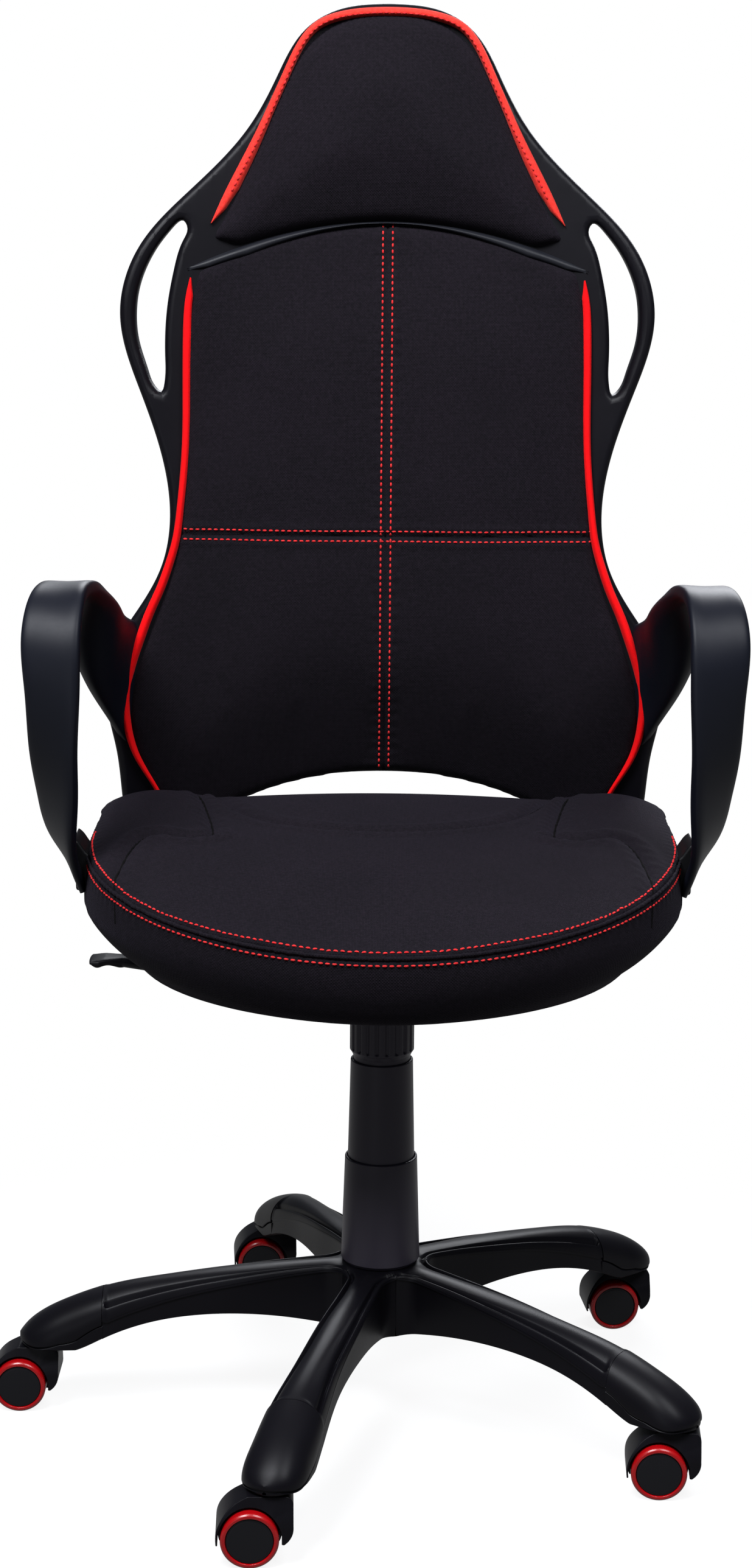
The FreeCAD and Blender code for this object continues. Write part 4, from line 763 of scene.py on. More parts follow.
def padPlane(side, low, top, across, up):
    # Points of a pad in the front plane: across from -1 to 1 and up from 0 to 1.
    # The half width follows the side line; the lower and upper edges are functions of how far across.
    sideLine = curveThrough(side, 200)
    order = np.argsort(sideLine[:, 1])
    zSide, xSide = sideLine[order, 1], sideLine[order, 0]
    half = np.interp(zSide[0] + up * (zSide[-1] - zSide[0]), zSide, xSide)
    x = across * half
    z = low(across) + up * (top(across) - low(across))
    return np.stack([x, z], -1)


def padGrids(plane, form, extra):
    # Front and rear of a pad on the bent sheet: a rolled edge, then a crown that grows inwards.
    flat = plane.reshape(-1, 2)
    outline = np.vstack([plane[:, 0], plane[-1, 1:], plane[::-1, -1][1:], plane[0, ::-1][1:-1]])
    distance = edgeDistance(flat, outline)
    t = np.clip(distance / form["roll"], 0, 1)
    roll = np.sqrt(1 - (1 - t) ** 2)
    x, z = flat.T
    sheet = sheetDepth(x, z)
    back = sheet + 9
    front = back - (9 + form["edge"]) * roll - extra(x, z, distance)
    shape = plane.shape[:2] + (3,)
    return [(np.stack([x, front, z], -1).reshape(shape), False, False),
            (np.stack([x, back, z], -1).reshape(shape), False, False)], outline


def pressSeam(away, depth, half, puff):
    # Forward move of a surface near a seam: a narrow valley with a soft swelling on both sides.
    return -depth * np.exp(-(away / half) ** 2) + puff * bump(np.abs(away) - 4.0 * half, 4.0 * half)


def makeBackCushion():
    # A pad between its side lines. The lower edge falls with the second and fourth power of how far across, the
    # upper edge with a power of it. The sewn cross is pressed into the swollen cover.
    form = padForm
    across = np.linspace(-1, 1, 121)
    up = np.linspace(0, 1, 141)
    u, v = np.meshgrid(across, up)
    plane = padPlane(form["side"], lambda k: form["lowMiddle"] - 56 * k ** 2 - 10 * k ** 4,
                     lambda k: form["topMiddle"] - form["topDrop"] * np.abs(k) ** 1.9, u, v)

    def crown(x, z, distance):
        # Eases up from the edge inwards, and is fuller at the small of the back by a bell curve.
        lumbar = 1 + form["lumbar"] * np.exp(-((z - form["lumbarAt"]) / 120) ** 2)
        return form["crown"] * lumbar * smoothStep(0, 130, distance)

    grids, outline = padGrids(plane, form, crown)
    mesh = meshOf("back cushion", grids)

    def held(points):
        # The cover is held at the rear, less firmly at the rim, and along the sewn cross.
        x, y, z = points.T
        rear = smoothStep(3, 7, y - sheetDepth(x, z))
        rim = 1 - smoothStep(0, 16, edgeDistance(points[:, [0, 2]], outline))
        seam = np.maximum(bump(x, 9), bump(z - form["seamHeight"], 9))
        return np.maximum.reduce([rear, 0.8 * rim, seam])

    mesh = inflated("back cushion", mesh, voxel=5.0, cap=9, pressure=4, pinned=held)
    points = coordinates(mesh)
    x, y, z = points.T
    front = (y < sheetDepth(x, z) - 1).astype(float)
    level = z - form["seamHeight"]
    for away, run in ((x, z), (level, x)):
        valley = pressSeam(away, form["seamDepth"], form["seamWide"], form["seamPuff"])
        row = form["rowSink"] * bump(np.abs(away) - form["seamHalf"], 2.0)
        pucker = form["pucker"] * np.sin(run * 2 * np.pi / form["puckerEvery"]) * bump(np.abs(away) - 9, 9)
        points[:, 1] -= front * (valley - row + pucker)
    setCoordinates(mesh, points)
    piece = place("back_cushion_cover", mesh, "seat", blackCloth, "black_fabric", ["back_cushion"])
    return mesh


def frontStitches(name, mesh, paths, material, slotName):
    # Stitches along lines of the front plane, laid on the surface in front.
    tree = surfaceTree(mesh)
    spots, runs, ups = [], [], []
    for path in paths:
        flat, _ = spacedAlong(np.asarray(path, float), stitchForm["pitch"])
        ahead = flat + np.gradient(flat, axis=0) * 0.1
        for (x, z), (x2, z2) in zip(flat, ahead):
            hit, normal, _, _ = tree.ray_cast(Vector((x, 0, z)) * millimetre, Vector((0, 1, 0)))
            hit2, _, _, _ = tree.ray_cast(Vector((x2, 0, z2)) * millimetre, Vector((0, 1, 0)))
            if hit is None or hit2 is None:
                continue
            spots.append(np.array(hit) / millimetre)
            runs.append(np.array((hit2 - hit).normalized()))
            ups.append(np.array(normal) if normal.y < 0 else -np.array(normal))
    stitches = stitchMesh(name, np.array(spots), np.array(runs), np.array(ups),
                          stitchForm["length"], stitchForm["width"])
    return place(name, stitches, "seat", material, slotName)


backMesh = makeBackCushion()
seamX, seamZ = padForm["seamHalf"], padForm["seamHeight"]
backPaths = [[(side * seamX, 1109), (side * seamX, 574)] for side in (-1, 1)]
backPaths += [[(-205, seamZ + side * seamX), (205, seamZ + side * seamX)] for side in (-1, 1)]
frontStitches("back_stitches", backMesh, [curveThrough(np.array(p), 400) for p in [
    np.linspace(a, b, 6) for a, b in backPaths]], redThread, "red_fabric")
print("back cushion made")


def makeHeadrest():
    # A pad like the back's, plain and without seams.
    form = headForm
    across = np.linspace(-1, 1, 101)
    up = np.linspace(0, 1, 81)
    u, v = np.meshgrid(across, up)
    drop = form["lowMiddle"] - form["lowSide"]

    def low(k):
        # The lower edge is a parabola that turns up at the corners.
        corner = smoothStep(0.8, 1.0, np.abs(k))
        return form["lowMiddle"] - drop * np.clip(np.abs(k) / 0.82, 0, 1) ** 2 + 7 * corner

    plane = padPlane(form["side"], low, lambda k: form["topMiddle"] - form["topDrop"] * np.abs(k) ** 2.6, u, v)

    def crown(x, z, distance):
        # Eases up from the edge inwards.
        return form["crown"] * smoothStep(0, 85, distance)

    grids, outline = padGrids(plane, form, crown)
    mesh = meshOf("headrest cushion", grids)

    def held(points):
        # The cover is held at the rear and less firmly at the rim.
        x, y, z = points.T
        rear = smoothStep(3, 7, y - sheetDepth(x, z))
        rim = 1 - smoothStep(0, 16, edgeDistance(points[:, [0, 2]], outline))
        return np.maximum(rear, 0.8 * rim)

    mesh = inflated("headrest cushion", mesh, voxel=4.5, cap=8, pressure=4, pinned=held)
    piece = place("headrest_cushion_cover", mesh, "seat", blackCloth, "black_fabric", ["headrest_cushion"])


makeHeadrest()
print("headrest made")


def inwardOf(line):
    # Unit directions to the left of a line of the front plane.
    tangent = unit(np.gradient(line, axis=0))
    return np.stack([-tangent[:, 1], tangent[:, 0]], -1)


def bandMesh(name, outerLine, widths, height, sunk, sides=(1, -1), endShare=0.35):
    # A cloth roll between two lines of the front plane: half an ellipse carried along them.
    grids = []
    turn = np.linspace(-0.15 * np.pi, 1.15 * np.pi, 15)
    for side in sides:
        line = curveThrough(outerLine, 260)
        length = runLength(line)
        width = np.interp(length / length[-1], *np.array(widths).T)
        inward = inwardOf(line)
        middle = line + inward * width[:, None] / 2
        ends = np.minimum(1, 8 * np.minimum(length, length[-1] - length) / length[-1]) ** 0.5
        flat = middle[:, None] + inward[:, None] * (width[:, None] / 2 * np.cos(turn))[..., None]
        x, z = flat[..., 0] * side, flat[..., 1]
        rise = height * (endShare + (1 - endShare) * ends)[:, None] * np.sin(turn) + sunk
        y = sheetDepth(x, z) - rise
        grids.append((np.stack([x, y, z], -1), False, False))
    return meshOf(name, grids)


bandForm = {
    "backLine": [(215, 522), (231, 557), (247, 585), (256, 610), (259.5, 635), (258.5, 660), (253, 685),
                 (244.5, 710), (236, 733), (225, 757), (216, 781), (209, 805), (205.5, 828), (203, 852),
                 (201, 876), (199.8, 899), (199.5, 950), (199.5, 993), (199, 1016), (197, 1038), (193, 1056)],
    "backWidths": [(0, 5.5), (0.1, 6), (0.25, 9), (0.4, 9), (0.6, 7), (0.9, 8.5), (0.97, 7), (1, 1.5)],
    "headLine": [(-173, 1108), (-162, 1133), (-150.5, 1156), (-138.5, 1179), (-127, 1202), (-116, 1226),
                 (-105.5, 1249), (-95, 1272), (-73, 1301), (-50, 1311), (-25, 1315), (0, 1316), (25, 1315),
                 (50, 1311), (73, 1301), (95, 1272), (105.5, 1249), (116, 1226), (127, 1202), (138.5, 1179),
                 (150.5, 1156), (162, 1133), (173, 1108)],
    "headWidths": [(0, 1), (0.03, 8), (0.07, 11.5), (0.12, 11), (0.2, 8.5), (0.3, 8), (0.42, 9), (0.5, 9.5),
                   (0.58, 9), (0.7, 8), (0.8, 8.5), (0.88, 11), (0.93, 11.5), (0.97, 8), (1, 1)],
    "backHeight": 7.5, "headHeight": 9, "sunk": 0.5, "rowInside": 6.0,
}
backBands = bandMesh("back bands", bandForm["backLine"], bandForm["backWidths"], bandForm["backHeight"],
                     bandForm["sunk"])
place("back_red_bands", backBands, "seat", redCloth, "red_fabric", ["back_bands"])
headBand = bandMesh("headrest band", bandForm["headLine"][::-1], bandForm["headWidths"], bandForm["headHeight"],
                    bandForm["sunk"], sides=(1,))
place("headrest_red_band", headBand, "seat", coralCloth, "red_fabric", ["headrest_band"])
headRow = curveThrough(bandForm["headLine"][::-1], 500)
headRow = headRow + bandForm["rowInside"] * inwardOf(headRow)
frontStitches("headrest_band_stitches", headBand, [headRow[25:-25]], redThread, "red_fabric")


crossbarForm = {
    "reach": 196, "above": 1.5, "height": 7.2,
    "widths": [(0, 2), (0.05, 8), (0.15, 11), (0.25, 8), (0.34, 5), (0.42, 3), (0.5, 2.4), (0.58, 3), (0.66, 5),
               (0.75, 8), (0.85, 11), (0.95, 8), (1, 2)],
}


def makeCrossbar():
    # The frame's edge that shows between the headrest and the pad: a thin bead that widens towards its ends and
    # follows the headrest's lower edge, a parabola.
    form = crossbarForm
    x = np.linspace(form["reach"], -form["reach"], 60)
    share = np.abs(x) / headForm["side"][0][0]
    drop = headForm["lowMiddle"] - headForm["lowSide"]
    z = headForm["lowMiddle"] + form["above"] - drop * np.clip(share / 0.82, 0, 1.5) ** 2
    bar = bandMesh("crossbar edge", np.stack([x, z], -1), form["widths"], form["height"], 0.2, sides=(1,),
                   endShare=-0.3)
    # painted highlight: the bead's plastic is painted lighter than the frame's
    place("frame_crossbar_edge", bar, "seat", highlightPaintedPlastic, "black_moulding")


makeCrossbar()
print("bands made")


# Seat cushion

seatForm = {
    "radius": 274, "centre": 26, "rear": 212, "corner": 66, "weltFront": 510, "stitchOff": 6.0, "stitchEnd": 40,
    # how far the side lies in from the widest outline, by height
    "side": [(442, 50), (447, 31), (460, 11), (484, -3), (504, -4), (526, -2), (548, 4), (568, 9)],
    # height of the top along the middle, from front to rear
    "top": [(-262, 490), (-236, 513), (-190, 529), (-100, 547), (0, 556), (100, 560), (180, 557), (212, 549),
            (240, 536)],
    "fallSideways": 0.00026, "bolster": 15, "bolsterAt": 220, "bolsterWidth": 70,
    # the rounded edge above the seam: how far in its crest lies and how far it hangs out
    "rollIn": 18, "rollOut": 4.5, "belly": 15,
    # rings from the underside up to the seam, as how far in they lie and how high, and how much of the inset the
    # front and the rear give back, by height
    "rings": [(120, 442), (75, 442), (50, 442), (40, 443.6), (31, 447), (20, 453), (11, 460), (3, 471), (-3, 484),
              (-4.5, 494), (-4, 504)],
    "shift": [(442, 26), (447, 18), (460, 7), (484, 1), (504, 0)],
    # sewn lines of the top: depth and half width of the valley, swelling beside it and creases; then the same
    # for the edge seam, with its puckers
    "seamDepth": 4.2, "seamWide": 2.6, "seamPuff": 2.0, "crease": 0.7,
    "weltDepth": 2.2, "weltWide": 2.4, "weltPuff": 0.5, "pucker": 0.35, "weltRadius": 1.8,
}


def seatOutline(inset, shift, count=(150, 40, 44, 90)):
    # Outline seen from above: round front, straight sides and rounded rear corners. The inset draws all of it
    # in, and the shift gives it back in front and, for the greater part, at the rear.
    front, side, corner, rear = count
    radius = seatForm["radius"] - inset
    centre = seatForm["centre"] - shift
    back = seatForm["rear"] - inset + 0.8 * shift
    bend = max(seatForm["corner"] - 0.5 * inset, 8)
    turn = back - bend
    angles = np.linspace(np.pi, 2 * np.pi, front, endpoint=False)
    points = [np.stack([radius * np.cos(angles), centre + radius * np.sin(angles)], -1)]
    points.append(np.linspace((radius, centre), (radius, turn), side, endpoint=False))
    quarter = np.linspace(0, np.pi / 2, corner, endpoint=False)
    points.append(np.stack([radius - bend + bend * np.cos(quarter), turn + bend * np.sin(quarter)], -1))
    points.append(np.linspace((radius - bend, back), (bend - radius, back), rear, endpoint=False))
    points.append(np.stack([bend - radius - bend * np.sin(quarter), turn + bend * np.cos(quarter)], -1))
    points.append(np.linspace((-radius, turn), (-radius, centre), side, endpoint=False))
    return np.vstack(points)


def weltHeight(y):
    # The edge seam rises from the front and levels out: a parabola, which falls off behind the widest place.
    run = y + 240
    return seatForm["weltFront"] + 0.17 * run - 0.0002 * run ** 2 - 0.0007 * np.maximum(y - 50, 0) ** 2


def sideInset(z):
    # How far in the side lies at a height.
    heights, insets = np.array(seatForm["side"]).T
    return np.interp(z, heights, insets)


def weltOutline(out=0.0, rise=0.0, count=(150, 40, 44, 90)):
    # Points along the edge seam; out and rise move them sideways and up.
    wide = seatOutline(0, 0, count)
    narrow = seatOutline(25, 0, count)
    z = weltHeight(wide[:, 1]) + rise
    share = (sideInset(z) - out)[:, None] / 25
    return np.column_stack([wide + share * (narrow - wide), z])


def seatTop(x, y):
    # Height of the top: a long profile from front to rear that falls off sideways, and a raised bolster along
    # each side that fades towards the front.
    form = seatForm
    line = curveThrough(form["top"], 400)
    high = np.interp(y, line[:, 0], line[:, 1]) - form["fallSideways"] * np.minimum(np.abs(x), 215) ** 2
    raised = bump(np.abs(x) - form["bolsterAt"], form["bolsterWidth"]) * smoothStep(-150, 60, y)
    return high + form["bolster"] * raised


def seatRings():
    # Rings from the underside to the top. The side leans out, the edge above the seam is a part of an oval that
    # hangs out a little, and the rest follows the top.
    form = seatForm
    rings = []
    for inset, height in form["rings"]:
        flat = seatOutline(inset, np.interp(height, *np.array(form["shift"]).T))
        belly = form["belly"] * (np.abs(flat[:, 0]) / form["radius"]) ** 1.3 * (1 - smoothStep(455, 504, height))
        rings.append(np.column_stack([flat, height + (belly if inset < 50 else 0 * belly)]))
    welt = weltOutline()
    wide, narrow = seatOutline(0, 0), seatOutline(25, 0)
    for share in (0.35, 0.7):
        z = 504 + share * (welt[:, 2] - 504)
        rings.append(np.column_stack([wide + (narrow - wide) * sideInset(z)[:, None] / 25, z]))
    rings.append(welt)
    far = (seatOutline(200, 0) - welt[:, :2]) / 200
    crest = welt[:, :2] + far * form["rollIn"]
    high = np.maximum(seatTop(crest[:, 0], crest[:, 1]) - welt[:, 2], 4)
    for degrees in (-26, -8, 10, 28, 46, 64, 80):
        a = math.radians(degrees)
        out = (form["rollIn"] + form["rollOut"] * np.minimum(high / 20, 1)) * math.cos(a) - form["rollIn"]
        flat = welt[:, :2] - far * out[:, None]
        rings.append(np.column_stack([flat, welt[:, 2] + high * (0.38 + 0.62 * math.sin(a))]))
    for inset in (18, 24, 32, 44, 60, 80, 105, 135, 172):
        flat = welt[:, :2] + far * inset
        rings.append(np.column_stack([flat, np.maximum(seatTop(flat[:, 0], flat[:, 1]), welt[:, 2] + 4)]))
    return np.array(rings)


def makeSeatCushion():
    # The rings closed at both ends and swollen between the seams. Each sewn line is pressed in as a bell-shaped
    # valley with a soft swelling beside it and small slanting creases.
    form = seatForm
    foot = form["side"][0][0]
    rings = seatRings()
    bottom = np.broadcast_to([0, 10, foot], (1,) + rings.shape[1:])
    middle = [0.0, form["centre"] - 10.0]
    top = np.broadcast_to([middle[0], middle[1], float(seatTop(*middle))], (1,) + rings.shape[1:])
    mesh = meshOf("seat cushion", [(np.vstack([bottom, rings, top]), False, True)])
    weltPoints = weltOutline(count=(120, 30, 30, 60))
    seams = seatSeams()
    rear = form["rear"] - 4

    def held(points):
        # The cover is held at the underside, along the edge seam and along the sewn lines.
        low = 1 - smoothStep(foot + 2, foot + 8, points[:, 2])
        edge = bump(nearest(points, weltPoints), 12)
        upper = points[:, 2] > weltHeight(points[:, 1]) + 3
        marks = np.max([bump(nearest(points[:, :2], seam), 10) for seam in seams], axis=0) * upper
        return np.maximum.reduce([low, edge, marks])

    mesh = inflated("seat cushion", mesh, voxel=5.5, cap=9, pressure=4, pinned=held)
    points = coordinates(mesh)
    up = normals(mesh)
    topSide = smoothStep(0.3, 0.6, up[:, 2])
    sink = np.zeros(len(points))
    close = nearest(points, weltPoints)
    clear = topSide * smoothStep(7, 20, close) * (1 - smoothStep(rear - 30, rear, points[:, 1]))
    for seam in seams:
        away = nearest(points[:, :2], seam)
        crease = form["crease"] * np.sin(points[:, 0] * 0.35 + points[:, 1] * 0.4) * bump(away - 9, 9)
        valley = form["seamDepth"] * np.exp(-(away / form["seamWide"]) ** 2)
        sink += clear * (valley - form["seamPuff"] * bump(away - 13, 11) + crease)
    valley = form["weltDepth"] * np.exp(-(close / form["weltWide"]) ** 2)
    sink += valley - form["weltPuff"] * bump(close - 6.5, 3)
    pucker = form["pucker"] * np.sin(np.arctan2(points[:, 0], -points[:, 1]) * 150) * bump(close - 10, 10)
    points -= up * (sink + pucker)[:, None]
    setCoordinates(mesh, points)
    piece = place("seat_cushion_cover", mesh, "seat", blackCloth, "black_fabric", ["seat_cushion"])
    return mesh


def nearest(points, targets):
    # Distance from each point to the nearest of many targets, in slices.
    result = np.full(len(points), 1e9)
    for first in range(0, len(targets), 60):
        group = targets[first:first + 60]
        result = np.minimum(result, np.linalg.norm(points[:, None] - group, axis=2).min(1))
    return result


def seatSeams():
    # Sewn lines of the seat top: from the rear down to a corner, then forward along each bolster, and an arc
    # across the middle whose ends reach the rear edge.
    down = curveThrough([(183, 190), (174, 140), (167, 95), (161, 52), (158, 15)], 80)
    forward = curveThrough([(158, 15), (174, 8), (190, 6), (204, 7), (216, 2), (226, -14), (232, -38), (236, -68),
                            (238, -104), (236, -122)], 120)
    arc = curveThrough([(-166, 190), (-151, 140), (-129, 92), (-105, 60), (-70, 37), (-36, 24), (0, 19),
                        (36, 24), (70, 37), (105, 60), (129, 92), (151, 140), (166, 190)], 240)
    return [down, down * [-1, 1], forward, forward * [-1, 1], arc]


seatMesh = makeSeatCushion()


def weltLines():
    # The edge seam and its two rows of stitches, as points on the cushion.
    tree = surfaceTree(seatMesh)
    rows = []
    off = seatForm["stitchOff"]
    for out, rise in ((-2, off), (0, 0), (0.5, -off)):
        guess = weltOutline(out, rise, (500, 60, 60, 120))
        found = [tree.find_nearest(Vector(p) * millimetre)[:2] for p in guess]
        rows.append((np.array([f[0] for f in found]) / millimetre, np.array([f[1] for f in found])))
    return rows


def makeSeatTrim():
    # A row of stitches on each side of the edge seam, round the front, and the welt: a circle carried along it.
    upper, seam, lower = weltLines()
    spots, runs, ups = [], [], []
    for line, normal in (upper, lower):
        fromRear = np.roll(line, -int(np.argmax(line[:, 1])), axis=0)
        places, directions = spacedAlong(fromRear, stitchForm["pitch"])
        front = places[:, 1] < seatForm["stitchEnd"]
        places, directions = places[front], directions[front]
        index = [int(np.argmin(np.linalg.norm(line - p, axis=1))) for p in places]
        spots.append(places)
        runs.append(directions)
        ups.append(normal[index])
    stitches = stitchMesh("seat stitches", np.vstack(spots), np.vstack(runs), np.vstack(ups),
                          stitchForm["length"], stitchForm["width"])
    place("seat_stitches", stitches, "seat", redThread, "red_fabric")
    line, normal = seam
    side = np.cross(normal, unit(np.roll(line, -1, axis=0) - np.roll(line, 1, axis=0)))
    turn = np.linspace(0, 2 * np.pi, 12, endpoint=False)
    ring = np.cos(turn)[None, :, None] * side[:, None] + np.sin(turn)[None, :, None] * normal[:, None]
    ring = ring * seatForm["weltRadius"]
    welt = meshOf("seat welt", [(line[:, None] + normal[:, None] * 0.9 + ring, True, True)])
    place("seat_welt", welt, "seat", blackCloth, "black_fabric")


makeSeatTrim()


def makeSeamShadeLines():
    # A thin tube along the bottom of each seam of the seat top, in near-black cloth: painted shade, seen as a thin
    # dark line.
    tree = surfaceTree(seatMesh)
    grids = []
    turn = np.linspace(0, 2 * np.pi, 8, endpoint=False)
    for seam in seatSeams():
        even = evenAlong(seam, 140)
        hits = [tree.ray_cast(Vector((x, y, 800)) * millimetre, Vector((0, 0, -1))) for x, y in even]
        hits = [hit for hit in hits if hit[0] is not None]
        line = np.array([hit[0] for hit in hits]) / millimetre
        normal = np.array([hit[1] for hit in hits])
        side = np.cross(normal, unit(np.gradient(line, axis=0)))
        thick = 1.1 * np.minimum(1, np.linspace(0, 30, len(line)))[:, None, None]
        ring = np.cos(turn)[None, :, None] * side[:, None] + np.sin(turn)[None, :, None] * normal[:, None]
        grids.append((line[:, None] - 0.25 * normal[:, None] + thick * ring, False, True))
    # painted shade: the near-black tube stands for the shade in each seam's valley
    place("seat_seam_painted_shade", meshOf("seat seam painted shade", grids), "seat", seamShadeCloth, "black_fabric")


makeSeamShadeLines()
print("seat cushion made")


# Armrests: a band that twists from the seat side over a flat top into an upright blade

# each row: inner edge, outer edge, thickness and bulge of the outer face
armForm = [
    ((-275, -27, 507), (-275, 22, 507), 7, 0),
    ((-279, -45, 532), (-288, 8, 532), 10, 1),
    ((-279, -62, 562), (-304.5, -14, 564), 12, 2),
    ((-275, -74, 602), (-311.5, -38, 604), 13, 2.5),
    ((-273, -83, 645), (-315.5, -60, 646), 14, 2.5),
    ((-269, -87, 702), (-317.5, -76, 703), 15, 2.5),
    ((-268, -78, 749), (-320.5, -73, 747.5), 16, 2.5),
    ((-267, -50, 779), (-317.5, -49, 776), 16, 2.5),
    ((-265, -10, 785), (-313.5, -10, 783.5), 16, 3),
    ((-262, 46, 779), (-311, 48, 772), 16, 3),
    ((-260, 100, 766), (-300, 106, 719), 15, 2.5),
    ((-257, 148, 748), (-285, 153, 665), 14, 2),
    ((-254, 186, 732), (-271, 190, 630), 13, 1),
    ((-244, 214, 722), (-252, 216, 589), 12, 1),
]


def armMesh(name, side):
    # The band's section is a flat oval with rounded edges, square to the run of the band.
    count = 150
    inner = curveThrough([row[0] for row in armForm], count)
    outer = curveThrough([row[1] for row in armForm], count)
    steps = np.linspace(0, len(armForm) - 1, count)
    thick = np.interp(steps, np.arange(len(armForm)), [row[2] for row in armForm])
    bulge = np.interp(steps, np.arange(len(armForm)), [row[3] for row in armForm])
    across = outer - inner
    width = np.linalg.norm(across, axis=1)
    across /= width[:, None]
    run = np.gradient((inner + outer) / 2, axis=0)
    normal = unit(np.cross(across, run))
    turn = np.linspace(0, 2 * np.pi, 48, endpoint=False)
    c, s = np.cos(turn), np.sin(turn)
    edge = np.sign(c) * np.abs(c) ** 0.34
    out = np.sign(s) * np.abs(s) ** 0.6
    reach = 0.5 * (1 + edge)[None, :] * width[:, None]
    lift = out[None, :] * thick[:, None] / 2 + np.where(s > 0, 1, 0.35)[None, :] * bulge[:, None] * (1 - edge ** 2)
    points = inner[:, None] + across[:, None] * reach[..., None] + normal[:, None] * lift[..., None]
    return meshOf(name, [(closedEnds(points) * [side, 1, 1], False, True)])


for sideName, side in (("right", 1), ("left", -1)):
    place("armrest_%s_band" % sideName, armMesh("armrest " + sideName, side), "seat", softPlastic,
          "black_moulding", ["armrest_" + sideName])
print("armrests made")


# Base: five arms with a rolled top skin, rims and grooves that run into the hub, end caps

baseForm = {
    "arms": 5, "firstAngle": 181.6, "webRadius": 22, "halfWidth": 18, "capStart": 263, "tip": 343,
    "foot": 63.5, "hubFoot": 82, "hubRadius": 40, "wall": 3.0,
    "top": [(20, 146), (90, 141), (150, 135), (205, 127.5), (255, 118), (295, 104.5), (325, 89), (337, 79),
            (343, 72)],
    "belly": [(20, 80), (90, 93), (135, 97), (180, 95.5), (225, 88), (262, 75), (288, 63.6), (343, 63.5)],
    "width": [(54, 18), (75, 18), (130, 20), (205, 22), (262, 26.5), (300, 28), (322, 26.4), (333, 21), (339.3, 13),
              (342.2, 6), (343, 0.4)],
    "rimDrop": [(30, 2.5), (60, 4), (120, 8), (190, 14), (232, 20), (270, 26), (300, 29), (325, 22), (343, 3)],
    "ribs": (52, 112, 172, 230), "ribThick": 2.6,
    # bead and groove along the edge: height or depth, distance from the edge and half width; and the ridge
    "bead": (1.3, 2.3, 2.3), "groove": (4.6, 5.9, 2.5), "ridge": 2.4,
    # how far the sides of a cap stand proud of the arm, and how far above the sole its lower edge lies
    "capProud": 0.7, "capAbove": 7.2,
}


def along(table, r):
    # A smooth line through the rows of a table, as value against radius.
    line = curveThrough(table, 500)
    return np.interp(r, line[:, 0], line[:, 1])


def armWidth(r):
    # Half width of an arm: the web's round hollow near the hub, then the arm's own outline.
    form = baseForm
    half = math.pi / form["arms"]
    meet = (form["halfWidth"] + form["webRadius"]) / math.tan(half)
    hollow = np.sqrt(np.maximum(form["webRadius"] ** 2 - (meet - r) ** 2, 0))
    web = form["halfWidth"] + form["webRadius"] - hollow
    web = np.minimum(web, r * math.tan(half))
    return np.where(r < meet, web, along(form["width"], r))


def edgeAway(r, y):
    # Distance from the arm's edge: from the web's circle near the hub, else sideways.
    form = baseForm
    half = math.pi / form["arms"]
    meet = (form["halfWidth"] + form["webRadius"]) / math.tan(half)
    circle = np.hypot(r - meet, np.abs(y) - form["halfWidth"] - form["webRadius"]) - form["webRadius"]
    return np.where(r < meet, circle, armWidth(r) - np.abs(y))


def skinHeight(r, y):
    # Top skin: an oval roll-off at the edges, a round bead along each edge, a groove inside it and a rounded
    # ridge between the grooves. Bead and groove run up to the cap.
    form = baseForm
    width = armWidth(r)
    away = np.maximum(edgeAway(r, y), 0)
    height = along(form["top"], r) - form["foot"]
    drop = np.minimum(along(form["rimDrop"], r), np.maximum(height - 1.0, 0.5))
    wide = np.minimum(width, 6 + 0.10 * np.maximum(r - 60, 0))
    t = np.clip(away / np.maximum(wide, 0.1), 0, 1)
    roll = 1 - np.sqrt(np.maximum(1 - (1 - t) ** 2.2, 0))
    fade = smoothStep(26, 42, r) * (1 - smoothStep(258, 262, r))
    bead, groove = (size * fade * bump(away - middle, half)
                    for size, middle, half in (form["bead"], form["groove"]))
    ridge = form["ridge"] * fade * np.clip(1 - (away - 8) / np.maximum(width - 8, 1), 0, 1) ** 2
    return along(form["top"], r) - drop * roll + bead - groove - ridge


def wallTop(r):
    # Height at which the roll-off of the top skin meets the wall.
    form = baseForm
    height = along(form["top"], r) - form["foot"]
    return along(form["top"], r) - np.minimum(along(form["rimDrop"], r), np.maximum(height - 1.0, 0.5))


